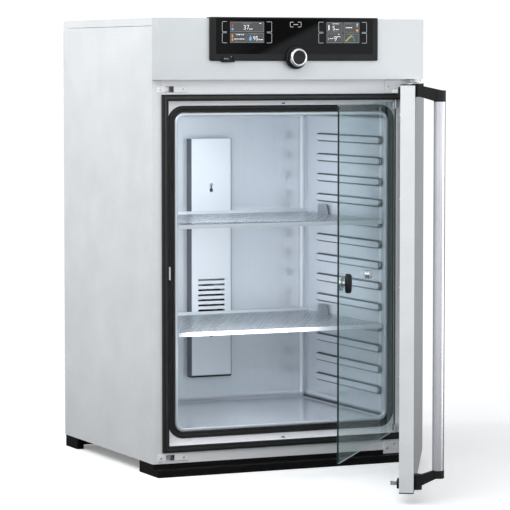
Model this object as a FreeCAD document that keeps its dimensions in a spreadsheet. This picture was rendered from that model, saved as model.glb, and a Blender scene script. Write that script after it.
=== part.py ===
import FreeCAD, Part
import Sketcher
import os
import math

# Laboratory incubator with a solid outer door and an inner glass door.
# +X is to the right, +Y to the back, +Z up.  The origin is on the floor, below the middle of the cabinet's front
# plane: Y = 0 is the front plane of the casing, X = 0 the cabinet's centre plane, Z = 0 the underside of the plinth.
# Both doors are drawn closed and then swung open about their own hinge axes.

V = FreeCAD.Vector
doc = FreeCAD.newDocument("Incubator")
sheet = doc.addObject("Spreadsheet::Sheet", "Dim")
row = [0]


class Q:
    """A number together with the expression that gives it."""

    def __init__(self, v, e):
        self.v = float(v)
        self.e = e

    def __add__(self, o):
        o = q(o)
        return Q(self.v + o.v, "(%s + %s)" % (self.e, o.e))

    def __radd__(self, o):
        return q(o) + self

    def __sub__(self, o):
        o = q(o)
        return Q(self.v - o.v, "(%s - %s)" % (self.e, o.e))

    def __rsub__(self, o):
        return q(o) - self

    def __mul__(self, o):
        o = q(o)
        return Q(self.v * o.v, "(%s * %s)" % (self.e, o.e))

    def __rmul__(self, o):
        return q(o) * self

    def __truediv__(self, o):
        o = q(o)
        return Q(self.v / o.v, "(%s / %s)" % (self.e, o.e))

    def __neg__(self):
        return Q(-self.v, "(0 - %s)" % self.e)


def q(x):
    return x if isinstance(x, Q) else Q(x, "%.6g" % x if x >= 0 else "(0 - %.6g)" % -x)


def dim(name, value, note):
    """One driving dimension: a row of the sheet, with the name as its alias."""
    row[0] += 1
    sheet.set("A%d" % row[0], name)
    sheet.set("B%d" % row[0], "%.6g" % value)
    sheet.set("C%d" % row[0], note)
    sheet.setAlias("B%d" % row[0], name)
    return Q(value, "Dim." + name)


# ---- casing
cab_width = dim("cab_width", 759, "casing width")
cab_height = dim("cab_height", 1180, "height to the top of the casing")
body_depth = dim("body_depth", 645, "front plane to the rear face")
body_bottom = dim("body_bottom", 31, "underside of the casing above the floor")
fascia_depth = dim("fascia_depth", 46, "control fascia in front of the front plane")
fascia_bottom = dim("fascia_bottom", 1022.5, "lower edge of the control fascia")
cover_flange = dim("cover_flange", 19.5, "height of the top cover's side flange")
sheet_gauge = dim("sheet_gauge", 1.5, "sheet metal thickness")
side_flange = dim("side_flange", 26, "front flange of each side panel")
# ---- front frame and seals
open_half = dim("open_half", 336.5, "half width of the stepped opening")
open_low = dim("open_low", 76, "lower edge of the stepped opening")
open_high = dim("open_high", 967.5, "upper edge of the stepped opening")
step_depth = dim("step_depth", 23, "depth of the step that takes the glass door")
seal_width = dim("seal_width", 17, "width of the outer seal")
seal_height = dim("seal_height", 10.5, "how far the outer seal stands out")
inner_seal_width = dim("inner_seal_width", 17.5, "width of the inner seal")
# ---- chamber
chamber_half = dim("chamber_half", 300, "half width of the chamber")
chamber_low = dim("chamber_low", 118, "chamber floor")
chamber_high = dim("chamber_high", 928, "chamber ceiling")
chamber_back = dim("chamber_back", 523, "chamber rear wall, inner face")
rim_front = dim("rim_front", 18.5, "front of the chamber's rolled rim")
rim_width = dim("rim_width", 8.5, "width of the chamber's rim")
chamber_round = dim("chamber_round", 20, "corner radius of the chamber")
rib_count = dim("rib_count", 13, "shelf ribs on each side")
rib_pitch = dim("rib_pitch", 56, "spacing of the ribs")
rib_first = dim("rib_first", 858.4, "centre of the top rib")
rib_height = dim("rib_height", 21, "height of a rib")
rib_depth = dim("rib_depth", 9, "how far a rib stands into the chamber")
rib_front = dim("rib_front", 38, "front end of a rib")
rib_rear = dim("rib_rear", 431, "rear end of a rib")
# ---- shelves
shelf_half = dim("shelf_half", 296, "half width of a shelf")
shelf_front = dim("shelf_front", 25, "front edge of a shelf")
shelf_rear = dim("shelf_rear", 489, "rear edge of a shelf")
shelf_gauge = dim("shelf_gauge", 1.5, "shelf sheet thickness")
shelf_flange = dim("shelf_flange", 10.5, "height of the shelf's front flange")
# ---- doors
door_axis_x = dim("door_axis_x", 369, "outer door hinge axis, X")
door_axis_y = dim("door_axis_y", -26, "outer door hinge axis, Y")
door_open = dim("door_open", 60.5, "outer door angle as stored, degrees")
door_inner = dim("door_inner", 11, "inner face of the closed door in front of the front plane")
door_low = dim("door_low", 29.5, "lower edge of the outer door")
door_high = dim("door_high", 1012, "upper edge of the outer door")
glass_axis_x = dim("glass_axis_x", 328.6, "glass door hinge axis, X")
glass_axis_y = dim("glass_axis_y", 13.85, "glass door hinge axis, Y")
glass_open = dim("glass_open", 50.3, "glass door angle as stored, degrees")
glass_gauge = dim("glass_gauge", 5.5, "glass thickness")
glass_low = dim("glass_low", 79.6, "lower edge of the glass")
glass_high = dim("glass_high", 962.9, "upper edge of the glass")
glass_free = dim("glass_free", 323, "free edge of the closed glass left of the centre plane")
pin_radius = dim("pin_radius", 5, "outer door hinge pin radius")
glass_pin_radius = dim("glass_pin_radius", 2.5, "glass door hinge pin radius")
damper_radius = dim("damper_radius", 11.3, "radius of the hinge damper rotors inside the frame")
running_gap = dim("running_gap", 0.05, "radial clearance of a running fit")
# ---- handle
hub_x = dim("hub_x", -336, "handle pivot, X with the door closed")
hub_y = dim("hub_y", -51, "handle pivot, Y with the door closed")
hub_radius = dim("hub_radius", 14, "radius of the handle hubs")
bar_y = dim("bar_y", -104, "centre of the handle bar, Y with the door closed")
bar_radius = dim("bar_radius", 14.3, "radius of the handle bar")
bar_low = dim("bar_low", 79.3, "lower end of the bare bar")
bar_high = dim("bar_high", 972.6, "upper end of the bare bar")
latch_top = dim("latch_top", 998, "height of the upper latch")
latch_bottom = dim("latch_bottom", 46, "height of the lower latch")
# ---- controls
bezel_half = dim("bezel_half", 240, "half width of the control bezel")
bezel_low = dim("bezel_low", 1070.8, "lower edge of the bezel")
knob_z = dim("knob_z", 1079.4, "height of the turn knob's axis")
knob_radius = dim("knob_radius", 24, "radius of the knob's ring")
glass_panel_half = dim("glass_panel_half", 224, "half width of the control glass")
glass_panel_low = dim("glass_panel_low", 1088.7, "lower edge of the control glass")
glass_panel_high = dim("glass_panel_high", 1179.4, "upper edge of the control glass")
# ---- air guide and fan
guide_half = dim("guide_half", 61, "half width of the air guide")
guide_front = dim("guide_front", 493, "front face of the air guide")
guide_low = dim("guide_low", 193.6, "lower edge of the air guide")
guide_high = dim("guide_high", 855, "upper edge of the air guide")
slot_pitch = dim("slot_pitch", 14.2, "spacing of the air slots")
slot_high = dim("slot_high", 462, "centre of the top air slot")
fan_z = dim("fan_z", 398, "fan axis height")
fan_radius = dim("fan_radius", 50, "radius of the fan wheel")
# ---- plinth
plinth_front = dim("plinth_front", -33, "front of the plinth's lower bar")
plinth_step = dim("plinth_step", 19, "height of the plinth's lower bar")
doc.recompute()

NODES = []          # (node name, object)
G = sheet_gauge


def bind(obj, prop, x):
    """Set a property from a number or bind it to the sheet."""
    if isinstance(x, Q):
        obj.setExpression(prop, x.e)
    else:
        node, attr = obj, prop.split(".")
        if len(attr) == 1:
            setattr(obj, attr[0], x)
        else:
            obj.setExpression(prop, q(x).e)


def box(name, x0, x1, y0, y1, z0, z1):
    o = doc.addObject("Part::Box", name)
    for p, a, b in (("Length", x0, x1), ("Width", y0, y1), ("Height", z0, z1)):
        o.setExpression(p, (q(b) - q(a)).e)
    for p, a in (("x", x0), ("y", y0), ("z", z0)):
        o.setExpression("Placement.Base." + p, q(a).e)
    return o


def cyl(name, x, y, z, r, length, axis="Z"):
    """A cylinder that starts at the point and runs along +axis."""
    o = doc.addObject("Part::Cylinder", name)
    rot = {"Z": FreeCAD.Rotation(), "X": FreeCAD.Rotation(V(0, 1, 0), 90), "Y": FreeCAD.Rotation(V(1, 0, 0), -90)}[axis]
    o.Placement = FreeCAD.Placement(V(0, 0, 0), rot)
    o.setExpression("Radius", q(r).e)
    o.setExpression("Height", q(length).e)
    for p, a in (("x", x), ("y", y), ("z", z)):
        o.setExpression("Placement.Base." + p, q(a).e)
    return o


def fuse(name, parts):
    o = doc.addObject("Part::MultiFuse", name)
    o.Shapes = parts
    o.Refine = True
    return o


def cut(name, base, tools):
    tool = tools[0] if len(tools) == 1 else fuse(name + "_tools", tools)
    o = doc.addObject("Part::Cut", name)
    o.Base = base
    o.Tool = tool
    o.Refine = True
    return o


def group(name, parts):
    """Identical pieces that share one node as separate solids."""
    o = doc.addObject("Part::Compound", name)
    o.Links = parts
    return o


def direction(edge):
    a, b = edge.Vertexes[0].Point, edge.Vertexes[-1].Point
    d = b - a
    return d.normalize() if d.Length > 1e-9 else V(0, 0, 0)


def pick(shape, test):
    return [i for i, e in enumerate(shape.Edges, 1) if test(e)]


def along(axis):
    k = "XYZ".index(axis)
    return lambda e: e.Curve.TypeId == "Part::GeomLine" and abs(abs(direction(e)[k]) - 1) < 1e-6


def fillet(name, base, radius, test):
    """Round the edges of base that pass the test."""
    doc.recompute()
    o = doc.addObject("Part::Fillet", name)
    o.Base = base
    o.Edges = [(i, radius, radius) for i in pick(base.Shape, test)]
    return o


def soft_box(name, x0, x1, y0, y1, z0, z1, r, test=lambda e: True):
    return fillet(name, box(name + "_block", x0, x1, y0, y1, z0, z1), r, test)


def body(name):
    return doc.addObject("PartDesign::Body", name)


def origin_plane(b, role):
    return [f for f in b.Origin.OriginFeatures if f.Role == role][0]


def sketch(b, name, role, offset=0):
    """A sketch on one of the body's own origin planes; offset is along that plane's normal (XZ looks along -Y)."""
    s = b.newObject("Sketcher::SketchObject", name)
    s.AttachmentSupport = [(origin_plane(b, role), "")]
    s.MapMode = "FlatFace"
    s.setExpression("AttachmentOffset.Base.z", q(offset).e)
    return s


def name_last(s, i, label, x):
    s.renameConstraint(i, label)
    s.setExpression(".Constraints." + label, q(x).e)


def poly(s, pts, tag="p"):
    """A closed outline; each corner is held to the sheet by its two coordinates."""
    n = len(pts)
    val = [V(q(a).v, q(b).v, 0) for a, b in pts]
    first = s.GeometryCount
    for k in range(n):
        s.addGeometry(Part.LineSegment(val[k], val[(k + 1) % n]), False)
    for k in range(n):
        s.addConstraint(Sketcher.Constraint("Coincident", first + k, 2, first + (k + 1) % n, 1))
    for k, (a, b) in enumerate(pts):
        i = s.addConstraint(Sketcher.Constraint("DistanceX", -1, 1, first + k, 1, q(a).v))
        name_last(s, i, "%sx%d_%d" % (tag, first, k), a)
        i = s.addConstraint(Sketcher.Constraint("DistanceY", -1, 1, first + k, 1, q(b).v))
        name_last(s, i, "%sy%d_%d" % (tag, first, k), b)


def rect(s, x0, y0, x1, y1, tag="r"):
    poly(s, [(x0, y0), (x1, y0), (x1, y1), (x0, y1)], tag)


def round_rect(s, x0, y0, x1, y1, r, tag="q"):
    """A rectangle with rounded corners: lines held by their ends, arcs by those ends and the radius."""
    x0, y0, x1, y1, r = q(x0), q(y0), q(x1), q(y1), q(r)
    ends = [((x0 + r, y0), (x1 - r, y0)), ((x1, y0 + r), (x1, y1 - r)), ((x1 - r, y1), (x0 + r, y1)), ((x0, y1 - r), (x0, y0 + r))]
    mids = [(x1 - r, y0 + r, -90), (x1 - r, y1 - r, 0), (x0 + r, y1 - r, 90), (x0 + r, y0 + r, 180)]
    first = s.GeometryCount
    for a, c in ends:
        s.addGeometry(Part.LineSegment(V(a[0].v, a[1].v, 0), V(c[0].v, c[1].v, 0)), False)
    for cx, cy, start in mids:
        full = Part.Circle(V(cx.v, cy.v, 0), V(0, 0, 1), r.v)
        s.addGeometry(Part.ArcOfCircle(full, math.radians(start), math.radians(start + 90)), False)
    for k in range(4):
        s.addConstraint(Sketcher.Constraint("Coincident", first + k, 2, first + 4 + k, 1))
        s.addConstraint(Sketcher.Constraint("Coincident", first + 4 + k, 2, first + (k + 1) % 4, 1))
    for k, ab in enumerate(ends):
        for j, (a, c) in enumerate(ab):
            for kind, val, lab in (("DistanceX", a, "x"), ("DistanceY", c, "y")):
                i = s.addConstraint(Sketcher.Constraint(kind, -1, 1, first + k, j + 1, val.v))
                name_last(s, i, "%s%s%d_%d_%d" % (tag, lab, first, k, j), val)
    for k in range(4):
        i = s.addConstraint(Sketcher.Constraint("Radius", first + 4 + k, r.v))
        name_last(s, i, "%sr%d_%d" % (tag, first, k), r)


def circle(s, x, y, r, tag="c"):
    g = s.addGeometry(Part.Circle(V(q(x).v, q(y).v, 0), V(0, 0, 1), q(r).v), False)
    for kind, val, lab in (("DistanceX", x, "x"), ("DistanceY", y, "y")):
        i = s.addConstraint(Sketcher.Constraint(kind, -1, 1, g, 3, q(val).v))
        name_last(s, i, "%s%s%d" % (tag, lab, g), val)
    i = s.addConstraint(Sketcher.Constraint("Radius", g, q(r).v))
    name_last(s, i, "%sr%d" % (tag, g), r)


def pad(b, s, length, reverse=False):
    f = b.newObject("PartDesign::Pad", s.Name + "_pad")
    f.Profile = s
    f.Reversed = reverse
    f.setExpression("Length", q(length).e)
    b.Tip = f
    return f


def pocket(b, s, length, reverse=False):
    """A pocket whose removed volume is compared, so that one that misses the solid is caught."""
    doc.recompute()
    before = b.Shape.Volume
    f = b.newObject("PartDesign::Pocket", s.Name + "_pocket")
    f.Profile = s
    f.Reversed = reverse
    f.setExpression("Length", q(length).e)
    b.Tip = f
    doc.recompute()
    if not b.Shape.Volume < before - 1e-3:
        raise RuntimeError("pocket %s removed nothing" % s.Name)
    return f


def pd_fillet(b, radius, test, kind="PartDesign::Fillet"):
    doc.recompute()
    base = b.Tip
    ids = ["Edge%d" % i for i in pick(base.Shape, test)]
    f = b.newObject(kind, base.Name + "_round")
    f.Base = (base, ids)
    bind(f, "Radius" if kind.endswith("Fillet") else "Size", radius)
    b.Tip = f
    return f


def linear(b, feature, s, axis, length, count, reverse=False):
    f = b.newObject("PartDesign::LinearPattern", feature.Name + "_row")
    f.Originals = [feature]
    f.Direction = (s, [axis])
    f.Reversed = reverse
    f.setExpression("Length", q(length).e)
    f.setExpression("Occurrences", q(count).e)
    b.Tip = f
    return f


def mirror(b, features, role):
    f = b.newObject("PartDesign::Mirrored", features[-1].Name + "_mirror")
    f.Originals = features
    f.MirrorPlane = (origin_plane(b, role), [""])
    b.Tip = f
    return f


def revolve(b, s, axis):
    f = b.newObject("PartDesign::Revolution", s.Name + "_turn")
    f.Profile = s
    f.ReferenceAxis = (s, [axis])
    f.Angle = 360
    b.Tip = f
    return f


def node(name, obj, place=None):
    obj.Label = name
    if place is not None:
        obj.Placement = place
    NODES.append((name, obj))
    return obj


def hinge(ax, ay, angle):
    """The placement that swings a closed door open about its vertical axis."""
    return FreeCAD.Placement(V(0, 0, 0), FreeCAD.Rotation(V(0, 0, 1), angle), V(ax, ay, 0))


DOOR = hinge(door_axis_x.v, door_axis_y.v, door_open.v)
PANE = hinge(glass_axis_x.v, glass_axis_y.v, glass_open.v)
half = cab_width / 2

# =====================================================================================================  CASING
# Side panels: bent sheet, a C section in plan with a front flange and a rear flange.
for side, k in (("left", -1), ("right", 1)):
    b = body("side_panel_" + side)
    s = sketch(b, "side_section_" + side, "XY_Plane", body_bottom)
    pts = [(half * k, 0), ((half - side_flange) * k, 0), ((half - side_flange) * k, G), ((half - G) * k, G),
           ((half - G) * k, body_depth - G), ((half - 19) * k, body_depth - G), ((half - 19) * k, body_depth), (half * k, body_depth)]
    poly(s, pts)
    pad(b, s, cab_height - cover_flange - 1 - body_bottom)
    node("side_panel_" + side, b)

# Top cover: a shallow tray, open below, with flanges on both sides and at the back.
b = body("top_cover")
s = sketch(b, "cover_outline", "XY_Plane", cab_height - cover_flange)
rect(s, -half, 0, half, body_depth)
pad(b, s, cover_flange)
s = sketch(b, "cover_hollow", "XY_Plane", cab_height - cover_flange)
rect(s, -half + G, -1, half - G, body_depth - G)
pocket(b, s, cover_flange - G, True)
node("top_cover", b)

# Rear panel, held inside the side panels' rear flanges, with a field of vent slots and the inlet's cut-out.
b = body("rear_panel")
s = sketch(b, "rear_outline", "XZ_Plane", -(body_depth - 2 * G))
rect(s, -half + 2, body_bottom + 2, half - 2, cab_height - cover_flange - 3)
pad(b, s, G, True)
s = sketch(b, "vent_slot", "XZ_Plane", -(body_depth - 2 * G - 1))
rect(s, -110, 1122, 110, 1127)
p = pocket(b, s, G + 2)
linear(b, p, s, "V_Axis", 66, 7, True)
s = sketch(b, "inlet_cutout", "XZ_Plane", -(body_depth - 2 * G - 1))
rect(s, 250, 1062, 278, 1110)
pocket(b, s, G + 2)
node("rear_panel", b)

node("base_pan", box("base_pan", -half + 2, half - 2, 2, body_depth - 4, body_bottom, body_bottom + G))

# Front frame: outer plate, the step that takes the glass door, and the inner plate round the chamber's mouth.
front_plate = box("front_plate", -half + side_flange + 0.1, half - side_flange - 0.1, 0, G, body_bottom, fascia_bottom - 0.1)
step_block = box("step_block", -open_half - G, open_half + G, G, step_depth + G, open_low - G, open_high + G)
step_hollow = box("step_hollow", -open_half, open_half, -1, step_depth, open_low, open_high)
mouth = soft_box("mouth_hole", -chamber_half - rim_width - 0.1, chamber_half + rim_width + 0.1, step_depth - 1, step_depth + G + 1,
                 chamber_low - rim_width - 0.1, chamber_high + rim_width + 0.1, 24, along("Y"))
holes = [step_hollow, mouth]
for nm, z in (("top", latch_top), ("bottom", latch_bottom)):
    holes.append(box("frame_latch_hole_" + nm, hub_x - 8.5, hub_x + 16.5, -1, G + 1, z - 7.5, z + 7.5))
holes.append(cyl("frame_pin_hole", glass_axis_x, glass_axis_y, open_low - G - 1, glass_pin_radius + running_gap, open_high - open_low + 5))
node("front_frame", cut("front_frame", fuse("frame_sheets", [front_plate, step_block]), holes))

# Outer seal: a mitred rectangular ring with a softly bevelled front.
b = body("outer_frame_seal")
s = sketch(b, "seal_ring", "XZ_Plane", 0)
rect(s, -open_half - seal_width, open_low - seal_width, open_half + seal_width, open_high + seal_width, "a")
rect(s, -open_half, open_low, open_half, open_high, "b")
pad(b, s, seal_height)
pd_fillet(b, 2.5, lambda e: e.BoundBox.YMax < -seal_height.v + 0.01, "PartDesign::Chamfer")
node("outer_frame_seal", b)

# Inner seal: a rounded ring round the chamber's rim that the glass closes on.
b = body("glass_door_seal")
in_h, in_lo, in_hi = chamber_half + rim_width + 1, chamber_low - rim_width - 1, chamber_high + rim_width + 1
s = sketch(b, "glass_seal_ring", "XZ_Plane", -step_depth)
rect(s, -in_h - inner_seal_width, in_lo - inner_seal_width, in_h + inner_seal_width, in_hi + inner_seal_width, "a")
rect(s, -in_h, in_lo, in_h, in_hi, "b")
pad(b, s, 6)
outer_edge = lambda e: along("Y")(e) and abs(e.Vertexes[0].X) > in_h.v + 5
pd_fillet(b, 42, outer_edge)
pd_fillet(b, 25, lambda e: along("Y")(e) and abs(abs(e.Vertexes[0].X) - in_h.v) < 0.01 and e.Curve.TypeId == "Part::GeomLine"
          and min(abs(e.Vertexes[0].Z - in_lo.v), abs(e.Vertexes[0].Z - in_hi.v)) < 0.01)
pd_fillet(b, 2, lambda e: e.BoundBox.YMax < step_depth.v - 6 + 0.01)
node("glass_door_seal", b)

# =====================================================================================================  CHAMBER
# Deep-drawn chamber tub with its rolled rim; the shelf ribs are pressed into both side walls.
b = body("chamber_tub")
s = sketch(b, "tub_outline", "XZ_Plane", -(chamber_back + G))
round_rect(s, -chamber_half - G, chamber_low - G, chamber_half + G, chamber_high + G, chamber_round + G)
pad(b, s, chamber_back + G - rim_front)
s = sketch(b, "rim_outline", "XZ_Plane", -(step_depth + 2 * G))
round_rect(s, -chamber_half - rim_width, chamber_low - rim_width, chamber_half + rim_width, chamber_high + rim_width, 24)
pad(b, s, step_depth + 2 * G - rim_front)
s = sketch(b, "tub_hollow", "XZ_Plane", -chamber_back)
round_rect(s, -chamber_half, chamber_low, chamber_half, chamber_high, chamber_round)
pocket(b, s, chamber_back, True)
pd_fillet(b, 18, lambda e: (abs(e.BoundBox.YMin - chamber_back.v) < 0.01 and abs(e.BoundBox.YMax - chamber_back.v) < 0.01
                            and e.BoundBox.XMax < chamber_half.v + 0.01 and e.BoundBox.XMin > -chamber_half.v - 0.01))
pd_fillet(b, 3, lambda e: e.BoundBox.YMax < rim_front.v + 0.01)
tub = b

rib = Part.makeBox(rib_depth.v + 0.6, rib_rear.v - rib_front.v, rib_height.v,
                   V(-chamber_half.v - 0.6, rib_front.v, rib_first.v - rib_height.v / 2))
rib = rib.makeFillet(9.5, [e for e in rib.Edges if along("X")(e)])
rib = rib.makeFillet(5, [e for e in rib.Edges if e.BoundBox.XMin > -chamber_half.v + rib_depth.v - 0.01])
ribs = []
for i in range(int(rib_count.v)):
    r = rib.copy()
    r.translate(V(0, 0, -i * rib_pitch.v))
    ribs += [r, r.mirror(V(0, 0, 0), V(1, 0, 0))]
rib_set = doc.addObject("Part::Feature", "shelf_ribs")
rib_set.Shape = Part.makeCompound(ribs)
shaft_hole = cyl("shaft_hole", 0, chamber_back - 5, fan_z, 6, 20, "Y")
node("inner_chamber", cut("inner_chamber", fuse("tub_with_ribs", [tub, rib_set]), [shaft_hole]))

# Thermal insulation between chamber and casing, with room for the fan motor, the latches and the glass door's step.
ins = box("insulation_block", -half + 3, half - 3, 2.2, body_depth - 4, body_bottom + 2, fascia_bottom - 3)
hol = [box("ins_step", -open_half - 2, open_half + 2, 0, step_depth + 3, open_low - 2.5, open_high + 2.5),
       box("ins_tub", -chamber_half - 4, chamber_half + 4, 10, chamber_back + 3, chamber_low - 5, chamber_high + 5),
       cyl("ins_motor", 0, chamber_back + 2, fan_z, 46, 62, "Y")]
for nm, z in (("top", latch_top), ("bottom", latch_bottom)):
    hol.append(box("ins_latch_" + nm, hub_x - 14, hub_x + 30, 0, 18, z - 11, z + 11))
hol += [cyl("ins_damper_top", glass_axis_x, glass_axis_y, open_high, damper_radius + 0.6, 47),
        cyl("ins_damper_bottom", glass_axis_x, glass_axis_y, body_bottom, damper_radius + 0.6, open_low - body_bottom)]
node("insulation_block", cut("insulation_jacket", ins, hol))

# Heating mats bonded to the outside of the chamber: two sides, floor and ceiling.
c4 = chamber_half + G
node("heating_mats", group("heating_mats", [
    box("mat_left", -c4 - 1.2, -c4, 60, 490, 160, 886), box("mat_right", c4, c4 + 1.2, 60, 490, 160, 886),
    box("mat_floor", -260, 260, 60, 490, chamber_low - G - 1.2, chamber_low - G),
    box("mat_ceiling", -260, 260, 60, 490, chamber_high + G, chamber_high + G + 1.2)]))

# Air guide on the chamber's rear wall: a tray open behind and below, with air slots, a keyhole and a probe hole.
b = body("air_guide")
s = sketch(b, "guide_outline", "XZ_Plane", -chamber_back)
rect(s, -guide_half, guide_low, guide_half, guide_high)
pad(b, s, chamber_back - guide_front)
s = sketch(b, "guide_hollow", "XZ_Plane", -chamber_back)
rect(s, -guide_half + 1.2, guide_low - 1, guide_half - 1.2, guide_high - 1.2)
pocket(b, s, chamber_back - guide_front - 1.2, True)
s = sketch(b, "guide_slot", "XZ_Plane", -(guide_front + 2))
rect(s, -40, slot_high - 2.7, 40, slot_high + 2.7)
p = pocket(b, s, 4, True)
linear(b, p, s, "V_Axis", slot_pitch * 9, 10, True)
s = sketch(b, "guide_keyhole", "XZ_Plane", -(guide_front + 2))
poly(s, [(-2.4, 713), (2.4, 713), (2.4, 729.6), (-2.4, 729.6)], "k")
pocket(b, s, 4, True)
s = sketch(b, "guide_key_round", "XZ_Plane", -(guide_front + 2))
circle(s, 0, 712, 5.5)
pocket(b, s, 4, True)
s = sketch(b, "guide_probe_hole", "XZ_Plane", -(guide_front + 2))
circle(s, 0, 307, 5.5)
pocket(b, s, 4, True)
node("air_guide", b)

# The screw that the keyhole hangs on: head in front of the guide, shank back to the chamber wall.
node("guide_screw", fuse("guide_screw", [cyl("guide_screw_head", 0, guide_front - 2.2, 727, 4.6, 2.2, "Y"),
                                        cyl("guide_screw_shank", 0, guide_front, 727, 2, chamber_back - guide_front, "Y")]))

# Fan: motor behind the rear wall, shaft through it, wheel behind the air slots.
node("fan_motor", cut("fan_motor", fuse("motor_can", [cyl("motor_body", 0, chamber_back + 8, fan_z, 38, 44, "Y"),
                                                     cyl("motor_flange", 0, chamber_back + G + 0.2, fan_z, 44, 6.4, "Y")]),
                      [cyl("motor_bore", 0, chamber_back, fan_z, 4 + running_gap, 40, "Y")]))
b = body("fan_rotor")
s = sketch(b, "wheel_disc", "XZ_Plane", -518)
circle(s, 0, fan_z, fan_radius, "a")
circle(s, 0, fan_z, 4, "b")
pad(b, s, 1.5)
s = sketch(b, "wheel_hub", "XZ_Plane", -518)
circle(s, 0, fan_z, 11, "a")
circle(s, 0, fan_z, 4, "b")
pad(b, s, 14)
s = sketch(b, "wheel_blade", "XZ_Plane", -517)
poly(s, [(-0.6, fan_z + 22), (0.6, fan_z + 22), (7.6, fan_z + fan_radius - 3), (6.4, fan_z + fan_radius - 3)], "w")
blade = pad(b, s, 17)
axis_line = b.newObject("PartDesign::Line", "fan_axis")
axis_line.Placement = FreeCAD.Placement(V(0, 0, fan_z.v), FreeCAD.Rotation(V(1, 0, 0), 90))
pp = b.newObject("PartDesign::PolarPattern", "blade_ring")
pp.Originals = [blade]
pp.Axis = (axis_line, [""])
pp.Angle = 360
pp.Occurrences = 18
b.Tip = pp
node("fan_wheel", fuse("wheel_on_shaft", [b, cyl("fan_shaft", 0, 500, fan_z, 4, 54, "Y")]))

# Sensors behind the air guide.
node("chamber_sensors", group("chamber_sensors", [
    fuse("gas_sensor", [cyl("sensor_cap", 0, 499, 307, 8, 12, "Y"), cyl("sensor_stem", 0, 511, 307, 5, 12, "Y")]),
    cyl("probe_a", -20, 499, 560, 2, 24, "Y"), cyl("probe_b", 20, 499, 560, 2, 24, "Y")]))

# =====================================================================================================  SHELVES
for nm, rib_no in (("upper", 4), ("lower", 9)):
    top = rib_first - rib_pitch * rib_no + rib_height / 2 + shelf_gauge
    b = body("shelf_" + nm)
    s = sketch(b, "shelf_section_" + nm, "YZ_Plane", -shelf_half)
    g = shelf_gauge
    poly(s, [(shelf_front, top), (shelf_front, top - shelf_flange), (shelf_front + g, top - shelf_flange), (shelf_front + g, top - g),
             (shelf_rear - g, top - g), (shelf_rear, top - g), (shelf_rear, top + 8), (shelf_rear - g, top + 8), (shelf_rear - g, top)])
    pad(b, s, shelf_half * 2)
    for tag, x in (("a", shelf_half - 3.5), ("b", -shelf_half + 2.2)):
        s = sketch(b, "shelf_tab_%s_%s" % (nm, tag), "YZ_Plane", x)
        poly(s, [(352, top - 0.5), (420, top - 0.5), (414, top + 25.5), (362, top + 25.5)])
        pad(b, s, 1.3)
    node("shelf_" + nm, b)

# =====================================================================================================  CONTROL FASCIA
f0 = -fascia_depth
f_shell = box("fascia_block", -half, half, f0, 0, fascia_bottom, cab_height)
f_hollow = box("fascia_hollow", -half + G, half - G, f0 + G, 1, fascia_bottom + G, cab_height - G)
f_window = box("fascia_window", -bezel_half + 8, bezel_half - 8, f0 - 1, f0 + G + 1, bezel_low + 6, cab_height - 8)
f_notch = cyl("fascia_shaft_notch", 0, f0 - 1, knob_z, 6, 4, "Y")
node("control_fascia", cut("control_fascia", f_shell, [f_hollow, f_window, f_notch]))

bz = f0 - 10
lip = soft_box("bezel_lip", -bezel_half - 2, bezel_half + 2, f0 + 0.01 - 2, -34, cab_height, cab_height + 2.2, 0.8, along("Z"))
bez = soft_box("bezel_block", -bezel_half, bezel_half, bz, f0, bezel_low, cab_height + 3, 3.5, lambda e: along("Y")(e) or e.BoundBox.YMax < bz.v + 0.01)
bez_cut = [box("bezel_glass_pocket", -glass_panel_half - 0.3, glass_panel_half + 0.3, bz - 1, bz + 4, glass_panel_low - 0.3, glass_panel_high + 0.3),
           box("bezel_switch_pocket", -209.5, -173, bz - 1, bz + 4, 1067, 1083.2),
           cyl("bezel_shaft_hole", 0, bz - 1, knob_z, 3.4, 14, "Y")]
node("control_bezel", cut("control_bezel", fuse("bezel_with_lip", [bez, lip]), bez_cut))

gz = bz - 0.6
gp = box("control_glass_slab", -glass_panel_half, glass_panel_half, gz, bz + 3.4, glass_panel_low, glass_panel_high)
gp_cut = [box("display_pocket_left", -186.5, -89.5, gz - 1, gz + 1, 1116.4, 1171.5), box("display_pocket_right", 88, 185, gz - 1, gz + 1, 1116.4, 1171.5),
          cyl("glass_knob_notch", 0, gz - 1, knob_z, 31, 8, "Y")]
node("control_glass", cut("control_glass", gp, gp_cut))
node("displays", group("displays", [box("display_left", -186.5, -89.5, gz + 0.1, gz + 1, 1116.4, 1171.5),
                                    box("display_right", 88, 185, gz + 0.1, gz + 1, 1116.4, 1171.5)]))

# Turn-and-push knob on its shaft, in front of a round collar.
kc = fillet("knob_collar_round", cyl("knob_collar_disc", 0, bz - 8, knob_z, 30, 8, "Y"), 2.5, lambda e: e.BoundBox.YMax < bz.v - 7.9)
node("knob_collar", cut("knob_collar", kc, [cyl("collar_bore", 0, bz - 9, knob_z, 3 + running_gap, 12, "Y")]))
node("knob_shaft", cyl("knob_shaft", 0, bz - 18, knob_z, 3, 40, "Y"))
b = body("knob_ring")
s = sketch(b, "ring_section", "YZ_Plane", 0)
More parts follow.
